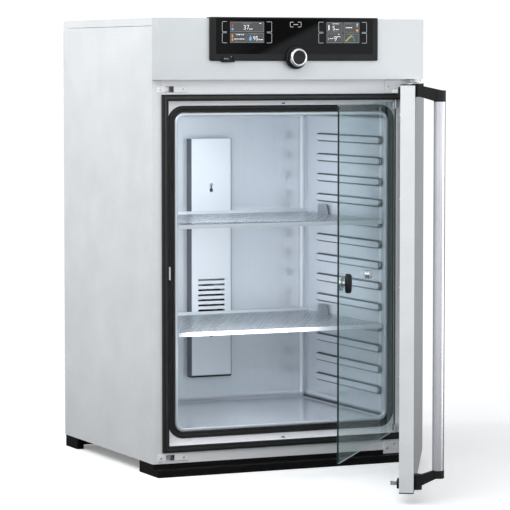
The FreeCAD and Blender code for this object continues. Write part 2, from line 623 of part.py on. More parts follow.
# half section, revolved about the knob's own axis line
poly(s, [(bz - 10.5, knob_z + 17), (bz - 10.5, knob_z + knob_radius), (bz - 20, knob_z + knob_radius), (bz - 24, knob_z + knob_radius - 3.5),
         (bz - 24, knob_z + 17)])
knob_line = b.newObject("PartDesign::Line", "knob_axis")
knob_line.Placement = FreeCAD.Placement(V(0, 0, knob_z.v), FreeCAD.Rotation(V(1, 0, 0), 90))
f = b.newObject("PartDesign::Revolution", "ring_turn")
f.Profile = s
f.ReferenceAxis = (knob_line, [""])
f.Angle = 360
b.Tip = f
node("knob_ring", b)
node("knob_cap", cut("knob_cap", cyl("knob_cap_disc", 0, bz - 22.5, knob_z, 17, 12, "Y"),
                     [cyl("knob_cap_bore", 0, bz - 18, knob_z, 3, 20, "Y"), cyl("knob_cap_dish", 0, bz - 23, knob_z, 13, 1.5, "Y")]))

# Main switch and service socket in one small frame at the bezel's lower left.
sw = box("switch_frame_block", -209.3, -173.2, bz - 1.5, bz + 4, 1067.2, 1083)
node("switch_frame", cut("switch_frame", sw, [box("rocker_well", -207, -194.5, bz - 3, bz + 3.5, 1069, 1081.2),
                                             cyl("trunnion_bore", -208, bz, 1075.1, 0.8 + running_gap, 14.4, "X"),
                                             cut("socket_mouth", box("socket_well", -190, -176, bz - 3, bz + 3.2, 1072, 1078.5),
                                                 [box("socket_tongue", -188, -178, bz - 1, bz + 4, 1074.6, 1075.9)])]))
rk = fillet("rocker_round", box("rocker_block", -206.5, -195, bz - 3.2, bz + 1, 1070, 1080.2), 1.0, lambda e: e.BoundBox.YMax < bz.v - 3.1)
ROCK = FreeCAD.Placement(V(0, 0, 0), FreeCAD.Rotation(V(1, 0, 0), -6), V(0, bz.v, 1075.1))
node("power_rocker", fuse("power_rocker", [rk, cyl("rocker_trunnions", -207.8, bz, 1075.1, 0.8, 14, "X")]), ROCK)
# Electronics above the chamber.
node("control_board", fuse("control_board", [box("board", -170, 60, 60, 250, 1032, 1033.6)] +
                           [cyl("standoff_%d" % i, x, y, fascia_bottom - 3, 4, 12.5) for i, (x, y) in enumerate(((-160, 70), (50, 70), (-160, 240), (50, 240)))]))
node("power_supply", soft_box("power_supply", 110, 290, 90, 260, fascia_bottom - 3, 1075, 2, along("Z")))

# =====================================================================================================  LATCH KEEPERS
keepers, screws = [], []
for nm, z in (("top", latch_top), ("bottom", latch_bottom)):
    plate = fillet("keeper_round_" + nm, box("keeper_block_" + nm, hub_x - 30, hub_x + 54, -3, 0, z - 9, z + 9), 1.2, lambda e: e.BoundBox.YMax < -2.9)
    keepers.append(cut("latch_keeper_" + nm, plate, [box("keeper_slot_" + nm, hub_x - 8.5, hub_x + 16.5, -4, 1, z - 7.5, z + 7.5)]))
    for i, dx in enumerate((-22, 42)):
        screws.append(cyl("keeper_screw_%s_%d" % (nm, i), hub_x + dx, -4.2, z, 3.2, 1.2, "Y"))
node("latch_keepers", group("latch_keepers", keepers))

# Keeper of the glass door's turn latch: an angle on the step's left wall.
node("glass_latch_keeper", fuse("glass_latch_keeper", [box("glass_keeper_lip", -open_half, -326.9, 4.5, 7, 506.5, 540.6),
                                                       box("glass_keeper_base", -open_half, -335, 4.5, 20, 506.5, 540.6)]))

# =====================================================================================================  DOOR HINGES
brackets, pins = [], []
for nm, z0, z1, zl0, zl1, zk0, zk1, zp0, zp1 in (("top", 985.5, 1018.5, 1016, 1020.5, 1014.9, 1021.5, 985, 1021.5),
                                                ("bottom", 21, 57.5, 21.5, 26, 21, 26.9, 21, 56)):
    plate = box("hinge_plate_" + nm, 287, 379.5, -3, 0, z0, z1)
    leaf = box("hinge_leaf_" + nm, 352, 378.5, door_axis_y, 0, zl0, zl1)
    knuckle = cyl("hinge_knuckle_" + nm, door_axis_x, door_axis_y, zk0, 11.5, zk1 - zk0)
    brackets.append(cut("hinge_bracket_" + nm, fuse("hinge_bracket_sheets_" + nm, [plate, leaf, knuckle]),
                                    [cyl("hinge_bracket_bore_" + nm, door_axis_x, door_axis_y, zk0 - 2, pin_radius, 12)]))
    pins.append(cyl("hinge_pin_" + nm, door_axis_x, door_axis_y, zp0, pin_radius, zp1 - zp0))
node("hinge_brackets", group("hinge_brackets", brackets))
node("hinge_pins", group("hinge_pins", pins))
screws += [cyl("hinge_screw_%d" % i, x, -5, z, 4, 2, "Y") for i, (x, z) in enumerate(((297, 1004), (318, 994), (345, 1004), (297, 36), (318, 47), (345, 36)))]
node("frame_screws", group("frame_screws", screws))

# =====================================================================================================  PLINTH AND FEET
y1 = 97
ends = []
for nm, x0, x1 in (("left", -half + 1.5, -half + 141.5), ("centre", -half + 142, half - 142), ("right", half - 141.5, half - 1.5)):
    bars = fuse("plinth_bars_" + nm, [box("plinth_lower_" + nm, x0, x1, plinth_front, y1, 0, plinth_step),
                                      box("plinth_upper_" + nm, x0, x1, 0.5, y1, plinth_step, body_bottom)])
    seg = fillet("plinth_round_" + nm, bars, 2, lambda e: abs(e.BoundBox.YMin - plinth_front.v) < 0.01 and abs(e.BoundBox.YMax - plinth_front.v) < 0.01
                 and e.BoundBox.ZMin > plinth_step.v - 0.01)
    if nm == "centre":
        node("plinth_centre", seg)
    else:
        ends.append(seg)
node("plinth_ends", group("plinth_ends", ends))
rear = [soft_box("rear_foot_" + nm, x0, x1, 553, 642, 0, body_bottom, 2, along("Z"))
        for nm, x0, x1 in (("left", -half + 1, -half + 21), ("right", half - 21, half - 1))]
node("rear_foot_frame", fuse("rear_foot_frame", rear + [box("rear_cross_bar", -half + 20, half - 20, 560, 585, 11, body_bottom)]))

# =====================================================================================================  REAR CONNECTIONS
node("power_inlet", cut("power_inlet", fuse("inlet_body", [box("inlet_flange", 246, 282, body_depth - G, body_depth + 1.5, 1058, 1114),
                                                          box("inlet_well", 250.2, 277.8, body_depth - 26, body_depth - G, 1062.2, 1109.8)]),
                        [box("inlet_mouth", 253, 275, body_depth - 20, body_depth + 3, 1075, 1105)]))
noz = []
for i, x in enumerate((-290, -250)):
    noz += [fuse("nozzle_%d" % i, [cyl("nozzle_stub_%d" % i, x, body_depth + 4, 1086, 3, 18, "Y"), cyl("nozzle_nut_%d" % i, x, body_depth - G, 1086, 8, 5.5, "Y")])]
node("gas_nozzles", group("gas_nozzles", noz))

# =====================================================================================================  OUTER DOOR
dy0, dy1 = f0, -door_inner          # outer and inner face of the closed door
dz0, dz1 = door_low, door_high
tray = box("door_tray_block", -half, half, dy0, dy1, dz0, dz1)
tray_h = box("door_tray_hollow", -half + G, half - G, dy0 + G, dy1 + 1, dz0 + G, dz1 - G)
chan = []
for nm, z0, z1 in (("top", 983, 1013), ("bottom", 28, 70)):
    chan.append((nm, hub_x - 26, hub_x + 26, z0, z1))
tools = [tray_h]
for nm, x0, x1, z0, z1 in chan:
    tools.append(box("door_channel_" + nm, x0, x1, dy0 - 1, dy1 + 1, z0, z1))
tools.append(cyl("door_bush_hole", door_axis_x, door_axis_y, dz0 - 1, 8, dz1 - dz0 + 2))
node("outer_door_shell", cut("outer_door_shell", tray, tools), DOOR)

core = box("door_core_block", -half + G, half - G, dy0 + G, dy1 - G, dz0 + G, dz1 - G)
core_t = [box("core_channel_" + nm, x0, x1, dy0 - 1, dy1 + 1, z0, z1) for nm, x0, x1, z0, z1 in chan]
core_t.append(cyl("core_bush_hole", door_axis_x, door_axis_y, dz0 - 1, 8.2, dz1 - dz0 + 2))
node("door_insulation", cut("door_insulation", core, core_t), DOOR)

lin = soft_box("door_liner_sheet", -half + G + 0.2, half - G - 0.2, dy1 - G, dy1, dz0 + G + 0.2, dz1 - G - 0.2, 0.6, along("Y"))
lin_t = [box("liner_channel_" + nm, x0, x1, dy0 - 1, dy1 + 1, z0, z1) for nm, x0, x1, z0, z1 in chan]
node("outer_door_liner", cut("outer_door_liner", lin, lin_t), DOOR)

dscrews = [cyl("liner_screw_%d" % i, x, dy1, z, 4.2, 1.6, "Y") for i, (x, z) in enumerate([(x, z) for x in (-366, 366) for z in (92, 307, 523, 737, 940)])]
node("liner_screws", group("liner_screws", dscrews), DOOR)

bush = []
for nm, z0, z1 in (("top", 985, dz1 + 1), ("bottom", dz0 - 1, 57)):
    bush.append(cut("door_bush_" + nm, cyl("bush_out_" + nm, door_axis_x, door_axis_y, z0, 8, q(z1) - z0),
                    [cyl("bush_bore_" + nm, door_axis_x, door_axis_y, q(z0) - 1, pin_radius + running_gap, q(z1) - z0 + 2)]))
node("door_hinge_bushes", group("door_hinge_bushes", bush), DOOR)

# Corner caps and latch housings at the free edge; each housing has a well for the handle's hub and a slot for the hook.
hub_well_r = hub_radius + 0.5
housings = []
for nm, z, z0, z1, w0, w1 in (("top", latch_top, 983, 1012, 982, 1020), ("bottom", latch_bottom, 29.5, 70, 31, 70.5)):
    hb = box("latch_housing_block_" + nm, hub_x - 26, hub_x + 26, dy0, dy1, z0, z1)
    nose = soft_box("latch_nose_" + nm, hub_x - 20, hub_x + 22, dy1 - 1, -4.2, z - 10, z + 10, 2, lambda e: e.BoundBox.YMin > -4.3)
    hc = [box("latch_slot_" + nm, hub_x - 15, hub_x + 17.5, dy0 - 1, 1, z - 6, z + 6),
          cyl("latch_well_" + nm, hub_x, hub_y, w0, hub_well_r, w1 - w0)]
    housings.append(cut("latch_housing_" + nm, fuse("latch_housing_solid_" + nm, [hb, nose]), hc))
node("latch_housings", group("latch_housings", housings), DOOR)
cap = box("corner_cap_block_top", -half - 0.6, -half + 80, dy0 - 0.6, dy1 + 0.6, dz1, dz1 + 2.4)
node("corner_caps", group("corner_caps", [
    cut("corner_cap_top", cap, [cyl("cap_notch", hub_x, hub_y, dz1 - 1, hub_well_r, 6)]),
    soft_box("corner_cap_bottom", -half - 0.6, -half + 80, dy0 - 0.6, dy1 + 0.6, dz0 - 2.4, dz0, 0.8, along("Z"))]), DOOR)

# =====================================================================================================  DOOR HANDLE
brackets, hooks = [], []
for nm, z, h0, h1, a0, a1, ca, cb in (("top", latch_top, 984, 1016, 986, 1012, bar_high, 1000), ("bottom", latch_bottom, 32, 69, 42, 66, 60, bar_low)):
    hub = cyl("handle_hub_" + nm, hub_x, hub_y, h0, hub_radius, h1 - h0)
    b = body("handle_arm_" + nm)
    s = sketch(b, "arm_outline_" + nm, "YZ_Plane", hub_x - 11)
    if nm == "top":
        poly(s, [(hub_y, 1013), (bar_y - 6, 1000), (bar_y - 6, bar_high), (bar_y + 8, bar_high), (hub_y, 986)])
    else:
        poly(s, [(hub_y, 36), (bar_y + 4, 60), (bar_y - 6, 60), (bar_y - 6, bar_low), (bar_y + 8, bar_low), (hub_y, 64)])
    pad(b, s, 22)
    capz = cyl("handle_cap_" + nm, hub_x, bar_y, q(ca), bar_radius + 0.5, q(cb) - ca)
    solid = fuse("handle_bracket_solid_" + nm, [hub, b, capz])
    brackets.append(cut("handle_bracket_" + nm, solid, [box("hook_seat_" + nm, hub_x - 4, hub_x + 4, hub_y + 2, hub_y + 20, z - 4, z + 4)]))
    hook = fuse("latch_hook_solid_" + nm, [box("hook_arm_" + nm, hub_x - 4, hub_x + 4, hub_y + 2, 5.5, z - 4, z + 4),
                                           box("hook_tip_" + nm, hub_x - 4, hub_x + 12, 5, 11.5, z - 4, z + 4)])
    hooks.append(fillet("latch_hook_" + nm, hook, 1.5, lambda e: along("Z")(e) and e.Vertexes[0].Y > 10))
node("handle_brackets", group("handle_brackets", brackets), DOOR)
node("latch_hooks", group("latch_hooks", hooks), DOOR)
b = body("handle_bar")
s = sketch(b, "bar_section", "XY_Plane", bar_low)
circle(s, hub_x, bar_y, bar_radius, "a")
circle(s, hub_x, bar_y, bar_radius - 2, "b")
pad(b, s, bar_high - bar_low)
node("handle_bar", b, DOOR)

# =====================================================================================================  GLASS DOOR
gy0 = glass_axis_y - glass_gauge / 2
gy1 = glass_axis_y + glass_gauge / 2
b = body("glass_pane")
s = sketch(b, "pane_outline", "XZ_Plane", -gy1)
rect(s, -glass_free, glass_low, 322, glass_high)
pad(b, s, glass_gauge)
pd_fillet(b, 5, along("Y"))
s = sketch(b, "pane_holes", "XZ_Plane", -(gy1 + 1))
circle(s, -270, 522, 7, "a")
circle(s, 3, 524, 9, "b")
doc.recompute()
before = b.Shape.Volume
f = b.newObject("PartDesign::Pocket", "pane_drill")
f.Profile = s
f.Type = 1
f.Midplane = True
b.Tip = f
doc.recompute()
if not b.Shape.Volume < before - 1:
    raise RuntimeError("pane holes removed nothing")
pd_fillet(b, 0.6, lambda e: e.Curve.TypeId == "Part::GeomLine" and e.Length > 400, "PartDesign::Chamfer")
node("glass_pane", b, PANE)

clamps = []
for nm, z0, z1 in (("top", 944.5, 962.9), ("bottom", 79.6, 98)):
    c = fuse("clamp_solid_" + nm, [box("clamp_outer_" + nm, 306, 333, 8.3, gy0, z0, z1), box("clamp_body_" + nm, 322, 333, 8.3, 19.2, z0, z1),
                                   box("clamp_inner_" + nm, 317, 333, gy1, 19.2, z0, z1)])
    clamps.append(cut("glass_clamp_" + nm, c, [cyl("clamp_bore_" + nm, glass_axis_x, glass_axis_y, z0 - 2, glass_pin_radius + running_gap, 24)]))
node("glass_clamps", group("glass_clamps", clamps), PANE)
# Each pin carries the rotor of a hinge damper, hidden in the frame above and below the glass.
node("glass_hinge_pins", group("glass_hinge_pins", [
    fuse("glass_pin_top", [cyl("pin_top", glass_axis_x, glass_axis_y, 946, glass_pin_radius, 24),
                           cyl("rotor_top", glass_axis_x, glass_axis_y, open_high + G + 0.7, damper_radius, 43.5)]),
    fuse("glass_pin_bottom", [cyl("pin_bottom", glass_axis_x, glass_axis_y, 73, glass_pin_radius, 24.2),
                              cyl("rotor_bottom", glass_axis_x, glass_axis_y, open_low - G - 0.7 - 39.5, damper_radius, 39.5)])]))

# Access port in the middle of the glass: a flanged ring and its plug.
ring = fuse("port_ring_solid", [cyl("port_flange_out", 3, gy0 - 2.5, 524, 12, 2.5, "Y"), cyl("port_sleeve", 3, gy0, 524, 9, glass_gauge, "Y"),
                                cyl("port_flange_in", 3, gy1, 524, 12, 2.5, "Y")])
node("port_ring", cut("port_ring", ring, [cyl("port_bore", 3, gy0 - 4, 524, 6.5, 16, "Y")]), PANE)
node("port_plug", fuse("port_plug", [cyl("plug_stem", 3, gy0 - 2.5, 524, 6.5, glass_gauge + 7, "Y"), cyl("plug_head", 3, gy0 - 7, 524, 9, 4.5, "Y")]), PANE)

# Turn latch of the glass door: rosette, spindle, oval knob outside and a flat tongue behind it.
ros = fuse("rosette_with_sleeve", [fillet("rosette_round", cyl("rosette_disc", -270, gy1, 522, 18, 6, "Y"), 1.5, lambda e: e.BoundBox.YMin > gy1.v + 5.9),
                                   cyl("rosette_sleeve", -270, gy0, 522, 7, glass_gauge + 1, "Y")])
node("latch_rosette", cut("latch_rosette_bored", ros, [cyl("rosette_bore", -270, gy0 - 1, 522, 4 + running_gap, 14, "Y")]), PANE)
kb = fillet("glass_knob_round", box("glass_knob_block", -281, -259, -7.5, 8, 497.5, 546.5), 8, along("Y"))
kb = fillet("glass_knob_soft", kb, 3, lambda e: e.BoundBox.YMax < -7.4)
node("glass_latch_knob", cut("glass_latch_knob", kb, [cyl("glass_knob_bore", -270, -2, 522, 4, 12, "Y")]), PANE)
node("glass_latch_spindle", cyl("glass_latch_spindle", -270, -2, 522, 4, 25, "Y"), PANE)
tg = fillet("tongue_round", box("tongue_blade", -277, -208, 8.2, 10.8, 515, 529), 6.5, along("Y"))
node("glass_latch_tongue", cut("glass_latch_tongue", tg, [cyl("tongue_bore", -270, 7, 522, 4, 5, "Y")]), PANE)

# =====================================================================================================  CHECK AND WRITE
doc.recompute()
bad = []
for o in doc.Objects:
    if "Invalid" in o.State or "Error" in o.State:
        bad.append("%s: %s" % (o.Name, o.State))
for name, o in NODES:
    sh = o.Shape
    if sh.isNull() or not sh.isValid() or not sh.Solids:
        bad.append("%s: bad shape" % name)
if bad:
    raise RuntimeError("; ".join(bad))
os.makedirs("parts", exist_ok=True)
for name, o in NODES:
    o.Shape.exportStep("parts/%s.step" % name)
    print("%-24s solids %d volume %.1f" % (name, len(o.Shape.Solids), o.Shape.Volume))
print(len(NODES), "nodes")
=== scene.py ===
import bpy
import bmesh
import math
from mathutils import Matrix, Vector


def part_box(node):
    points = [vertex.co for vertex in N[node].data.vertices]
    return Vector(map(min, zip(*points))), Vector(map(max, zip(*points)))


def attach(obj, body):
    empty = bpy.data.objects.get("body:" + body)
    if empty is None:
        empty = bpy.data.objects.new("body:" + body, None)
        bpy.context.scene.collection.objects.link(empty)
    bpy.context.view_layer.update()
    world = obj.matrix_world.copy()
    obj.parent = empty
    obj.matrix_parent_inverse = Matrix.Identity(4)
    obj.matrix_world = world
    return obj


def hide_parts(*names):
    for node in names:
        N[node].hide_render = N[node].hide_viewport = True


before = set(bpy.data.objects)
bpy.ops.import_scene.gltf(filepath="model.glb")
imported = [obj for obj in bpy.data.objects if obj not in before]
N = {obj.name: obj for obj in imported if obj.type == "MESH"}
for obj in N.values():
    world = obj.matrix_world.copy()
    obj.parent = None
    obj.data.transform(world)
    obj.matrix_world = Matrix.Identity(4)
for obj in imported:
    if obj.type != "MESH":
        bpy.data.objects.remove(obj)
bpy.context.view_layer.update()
MM = 0.001
DOOR_AXIS, DOOR_DEG = (369.0, -26.0), 60.5
GLASS_AXIS, GLASS_DEG = (328.6, 13.85), 50.3


# ------------------------------------------------------------------------------------------------ node material tools
class Mat:
    """A small builder for node materials: everything hangs on object coordinates, which are the part's own frame."""

    def __init__(self, name):
        self.m = bpy.data.materials.new(name)
        self.m.use_nodes = True
        self.t = self.m.node_tree
        self.t.nodes.clear()
        self.out = self.t.nodes.new("ShaderNodeOutputMaterial")
        self.co = self.t.nodes.new("ShaderNodeTexCoord")

    def n(self, kind, **kw):
        node = self.t.nodes.new("ShaderNode" + kind)
        ins = kw.pop("ins", {})
        for k, v in kw.items():
            setattr(node, k, v)
        for k, v in ins.items():
            if isinstance(v, bpy.types.NodeSocket):
                self.t.links.new(v, node.inputs[k])
            else:
                node.inputs[k].default_value = v
        return node

    def link(self, a, b):
        self.t.links.new(a, b)

    def mapping(self, scale=(1, 1, 1), rot=(0, 0, 0)):
        return self.n("Mapping", ins={"Vector": self.co.outputs["Object"], "Scale": scale, "Rotation": rot}).outputs["Vector"]

    def noise(self, scale, detail=3.0, rough=0.5, vec=None, dist=0.0):
        return self.n("TexNoise", ins={"Vector": vec or self.co.outputs["Object"], "Scale": scale, "Detail": detail,
                                       "Roughness": rough, "Distortion": dist}).outputs["Fac"]

    def math(self, op, a, b=0.0, c=0.0, clamp=False):
        return self.n("Math", operation=op, use_clamp=clamp, ins={0: a, 1: b, 2: c}).outputs[0]

    def ramp(self, fac, lo, hi, a=0.0, b=1.0):
        return self.n("MapRange", clamp=True, ins={"Value": fac, "From Min": lo, "From Max": hi, "To Min": a, "To Max": b}).outputs["Result"]

    def mix(self, fac, a, b):
        node = self.n("Mix", data_type="RGBA")
        for k, v in ((0, fac), (6, a), (7, b)):
            if isinstance(v, bpy.types.NodeSocket):
                self.t.links.new(v, node.inputs[k])
            else:
                node.inputs[k].default_value = v
        return node.outputs[2]

    def bump(self, height, strength, distance):
        return self.n("Bump", ins={"Height": height, "Strength": strength, "Distance": distance}).outputs["Normal"]

    def sep(self, vec):
        return self.n("SeparateXYZ", ins={"Vector": vec}).outputs

    def bsdf(self, **ins):
        node = self.n("BsdfPrincipled")
        for k, v in ins.items():
            k = k.replace("_", " ")
            if isinstance(v, bpy.types.NodeSocket):
                self.t.links.new(v, node.inputs[k])
            else:
                node.inputs[k].default_value = v
        self.t.links.new(node.outputs["BSDF"], self.out.inputs["Surface"])
        return node


def rgb(r, g, b):
    """Colour from display values."""
    f = lambda c: (c / 255 / 12.92) if c / 255 <= 0.04045 else ((c / 255 + 0.055) / 1.055) ** 2.4
    return (f(r), f(g), f(b), 1.0)


def linen_steel(name, col, dark, metallic, rough, pitch=2.4, bump=0.25, upper=None):
    """Stainless sheet with a rolled-in linen pattern: short raised dashes in two directions over a faint cloud. With
    upper given, faces turned upwards take a darker pair of greys: painted shade on the top.
    """
    m = Mat(name)
    k = 2 * math.pi / (pitch * MM)
    x, y, z = m.sep(m.co.outputs["Object"])[0:3]
    u = m.math("ADD", x, y)
    su = m.math("SINE", m.math("MULTIPLY", u, k))
    sz = m.math("SINE", m.math("MULTIPLY", z, k * 1.15))
    weave = m.math("MULTIPLY", su, sz)
    cloud = m.noise(9.0, 4.0, 0.6)
    grain = m.noise(900.0, 2.0, 0.5)
    height = m.math("ADD", weave, m.math("MULTIPLY", grain, 0.7))
    rows = m.math("SINE", m.math("MULTIPLY", z, 2 * math.pi / 0.0052))
    tone = m.math("ADD", m.math("ADD", m.math("MULTIPLY", weave, 0.08), m.math("MULTIPLY", rows, 0.07)), m.math("MULTIPLY", cloud, 0.5))
    colour = m.mix(m.ramp(tone, 0.0, 0.5), dark, col)
    if upper:
        # Painted shade: faces turned upwards switch to the darker upper greys by their normal.
        nz = m.sep(m.co.outputs["Normal"])[2]
        colour = m.mix(m.ramp(nz, 0.6, 0.9), colour, m.mix(m.ramp(tone, 0.0, 0.5), upper[0], upper[1]))
    r = m.ramp(cloud, 0.3, 0.7, rough - 0.05, rough + 0.06)
    m.bsdf(Base_Color=colour, Metallic=metallic, Roughness=r, Normal=m.bump(height, bump, 0.0001))
    return m.m


def brushed_steel(name, col, dark, metallic, rough, axis="Z", scale=1.0, bump=0.12, aniso=0.0):
    """Brushed or ground sheet: long fine streaks along one axis, with slow changes of tone."""
    m = Mat(name)
    long_, short = 2.0 * scale, 700.0 * scale
    s = {"X": (long_, short, short), "Y": (short, long_, short), "Z": (short, short, long_)}[axis]
    streak = m.noise(1.0, 3.0, 0.6, m.mapping(s))
    cloud = m.noise(5.0, 3.0, 0.5)
    colour = m.mix(m.ramp(m.math("ADD", m.math("MULTIPLY", streak, 0.5), m.math("MULTIPLY", cloud, 0.5)), 0.3, 0.68), dark, col)
    m.bsdf(Base_Color=colour, Metallic=metallic, Roughness=m.ramp(streak, 0.25, 0.75, rough - 0.05, rough + 0.07),
           Anisotropic=aniso, Normal=m.bump(streak, bump, 0.00005))
    return m.m


def moulded(name, col, light, rough, grain=1600.0, bump=0.25, spec=0.5, coat=0.0):
    """Moulded plastic or rubber: pebbled skin, slightly lighter where it is handled or dusty."""
    m = Mat(name)
    pebble = m.n("TexVoronoi", feature="SMOOTH_F1", ins={"Vector": m.co.outputs["Object"], "Scale": grain * 0.6}).outputs["Distance"]
    fine = m.noise(grain, 3.0, 0.6)
    cloud = m.noise(14.0, 4.0, 0.6)
    colour = m.mix(m.ramp(cloud, 0.35, 0.75), col, light)
    height = m.math("ADD", m.math("MULTIPLY", pebble, 0.6), m.math("MULTIPLY", fine, 0.4))
    m.bsdf(Base_Color=colour, Roughness=m.ramp(fine, 0.3, 0.7, rough - 0.06, rough + 0.06), Normal=m.bump(height, bump, 0.00008),
           Specular_IOR_Level=spec, Coat_Weight=coat, Coat_Roughness=0.15)
    return m.m


MATS = {}
MATS["casing"] = linen_steel("casing_steel", rgb(234, 237, 239), rgb(217, 220, 222), 0.3, 0.42)
# The cover's upward faces take the darker upper greys: painted shade on the top.
MATS["cover"] = linen_steel("cover_steel", rgb(234, 237, 239), rgb(217, 220, 222), 0.3, 0.42, upper=(rgb(150, 153, 156), rgb(168, 171, 174)))
MATS["fascia"] = linen_steel("fascia_steel", rgb(214, 218, 220), rgb(199, 203, 205), 0.3, 0.42)
MATS["frame"] = brushed_steel("frame_steel", rgb(246, 246, 248), rgb(234, 234, 237), 0.28, 0.36, "X", 0.6, 0.08)
MATS["rear"] = brushed_steel("rear_steel", rgb(196, 200, 203), rgb(172, 177, 181), 0.7, 0.42, "Z", 0.5, 0.12)
MATS["small_steel"] = brushed_steel("small_steel", rgb(226, 228, 232), rgb(200, 203, 208), 0.9, 0.24, "Z", 1.2, 0.1)
MATS["dark_steel"] = brushed_steel("dark_steel", rgb(90, 93, 97), rgb(62, 64, 68), 0.8, 0.42, "Z", 1.0, 0.15)
MATS["black_plastic"] = moulded("black_plastic", rgb(19, 20, 21), rgb(26, 27, 28), 0.46, spec=0.26)
MATS["bezel"] = moulded("bezel_plastic", rgb(22, 23, 24), rgb(27, 28, 29), 0.42, 2200.0, 0.18, 0.22)
MATS["plinth"] = moulded("plinth_plastic", rgb(6, 6, 7), rgb(11, 11, 12), 0.6, 1100.0, 0.35, 0.15)


def chamber_material():
    """Electropolished stainless: soft bright reflections, faint drawing marks, a cool cast, and painted shade that
    darkens the sloped faces of the wall ribs.
    """
    m = Mat("chamber_steel")
    streak = m.noise(1.0, 3.0, 0.55, m.mapping((260.0, 260.0, 3.0)))
    cloud = m.noise(2.5, 3.0, 0.5)
    fine = m.noise(1400.0, 2.0, 0.5)
    tone = m.math("ADD", m.math("MULTIPLY", streak, 0.35), m.math("MULTIPLY", cloud, 0.65))
    colour = m.mix(m.ramp(tone, 0.3, 0.7), rgb(216, 222, 230), rgb(230, 236, 243))
    x, y, z = m.sep(m.co.outputs["Object"])[0:3]
    nx, ny, nz = m.sep(m.co.outputs["Normal"])[0:3]
    # Painted shade: on the side walls, the ribs' sloped faces within the chamber's depth are mixed to a dark grey.
    flank = m.math("MULTIPLY", m.ramp(m.math("ABSOLUTE", x), 0.2895, 0.2905), m.ramp(m.math("ABSOLUTE", x), 0.3000, 0.2990))
    rib_slope_shade = m.ramp(m.math("ADD", m.math("ABSOLUTE", nz), m.math("ABSOLUTE", ny)), 0.35, 0.7)
    wall = m.math("MULTIPLY", m.ramp(y, 0.024, 0.032), m.ramp(y, 0.515, 0.505))
    colour = m.mix(m.math("MULTIPLY", m.math("MULTIPLY", rib_slope_shade, wall), m.ramp(m.math("ABSOLUTE", x), 0.288, 0.2905)), colour, rgb(70, 76, 84))
    height = m.math("ADD", m.math("MULTIPLY", streak, 0.6), m.math("MULTIPLY", fine, 0.4))
    m.bsdf(Base_Color=colour, Metallic=0.52, Roughness=m.ramp(fine, 0.3, 0.7, 0.16, 0.23), Normal=m.bump(height, 0.06, 0.00006))
    return m.m


def shelf_material():
    m = Mat("shelf_steel")
    streak = m.noise(1.0, 3.0, 0.6, m.mapping((3.0, 600.0, 600.0)))
    cloud = m.noise(6.0, 3.0, 0.5)
    colour = m.mix(m.ramp(m.math("ADD", m.math("MULTIPLY", streak, 0.5), m.math("MULTIPLY", cloud, 0.5)), 0.3, 0.7), rgb(160, 168, 176), rgb(186, 193, 200))
    y = m.sep(m.co.outputs["Object"])[1]
    # Painted highlight: the front flange and rear lip are made lighter and less metallic than the rest of the sheet.
    lip = m.math("MAXIMUM", m.ramp(y, 0.0285, 0.0272), m.ramp(y, 0.4862, 0.4872))
    colour = m.mix(lip, colour, rgb(206, 213, 220))
    m.bsdf(Base_Color=colour, Metallic=m.ramp(lip, 0.0, 1.0, 0.8, 0.25), Roughness=m.ramp(streak, 0.3, 0.7, 0.26, 0.36), Normal=m.bump(streak, 0.1, 0.00005))
    return m.m


def rubber_material(name, a, b, rough=0.5):
    """Extruded silicone: matt black with a faint bloom and fine drag lines."""
    m = Mat(name)
    bloom = m.noise(22.0, 4.0, 0.6)
    fine = m.noise(1500.0, 3.0, 0.6)
    drag = m.noise(1.0, 2.0, 0.5, m.mapping((30.0, 900.0, 30.0)))
    colour = m.mix(m.ramp(bloom, 0.35, 0.75), a, b)
    height = m.math("ADD", m.math("MULTIPLY", fine, 0.5), m.math("MULTIPLY", drag, 0.5))
    m.bsdf(Base_Color=colour, Roughness=m.ramp(fine, 0.3, 0.7, rough - 0.05, rough + 0.07), Normal=m.bump(height, 0.2, 0.00006), Specular_IOR_Level=0.4)
    return m.m


MATS["chamber"] = chamber_material()


def guide_material():
    """The air guide's sheet: bright face, with painted shade on its returned edges: side faces grey at the front edge,
    and a dark line along its left, right and bottom edges.
    """
    m = Mat("guide_steel")
    streak = m.noise(1.0, 3.0, 0.55, m.mapping((420.0, 420.0, 3.0)))
    cloud = m.noise(3.5, 3.0, 0.5)
    nx, ny, nz = m.sep(m.co.outputs["Normal"])[0:3]
    face = m.mix(m.ramp(m.math("ADD", m.math("MULTIPLY", streak, 0.15), m.math("MULTIPLY", cloud, 0.85)), 0.2, 0.8), rgb(216, 222, 229), rgb(226, 232, 239))
    x, y, z = m.sep(m.co.outputs["Object"])[0:3]
    # Painted shade: the side faces are grey near the front and bright further back.
    side_front_shade = m.ramp(y, 0.4975, 0.4935)
    side = m.mix(side_front_shade, rgb(232, 238, 244), rgb(150, 158, 166))
    colour = m.mix(m.ramp(m.math("ABSOLUTE", ny), 0.7, 0.4), face, side)
    # Painted shade: a dark line along the left, right and bottom edges.
    edge_shade_x = m.ramp(m.math("ABSOLUTE", x), 0.0585, 0.0600)
    edge_shade_z = m.ramp(z, 0.1962, 0.1946)
    colour = m.mix(m.math("MAXIMUM", edge_shade_x, edge_shade_z), colour, rgb(92, 98, 106))
    m.bsdf(Base_Color=colour, Metallic=0.3, Roughness=m.ramp(streak, 0.3, 0.7, 0.30, 0.36), Normal=m.bump(streak, 0.02, 0.00003))
    return m.m


MATS["guide"] = guide_material()
MATS["shelf"] = shelf_material()
MATS["seal"] = rubber_material("seal_rubber", rgb(15, 15, 16), rgb(24, 24, 25))
# Painted light: a lighter copy of the seal rubber for the seal's front face, where the light falls.
MATS["seal_face"] = rubber_material("seal_face_rubber", rgb(34, 34, 35), rgb(46, 46, 47), 0.42)


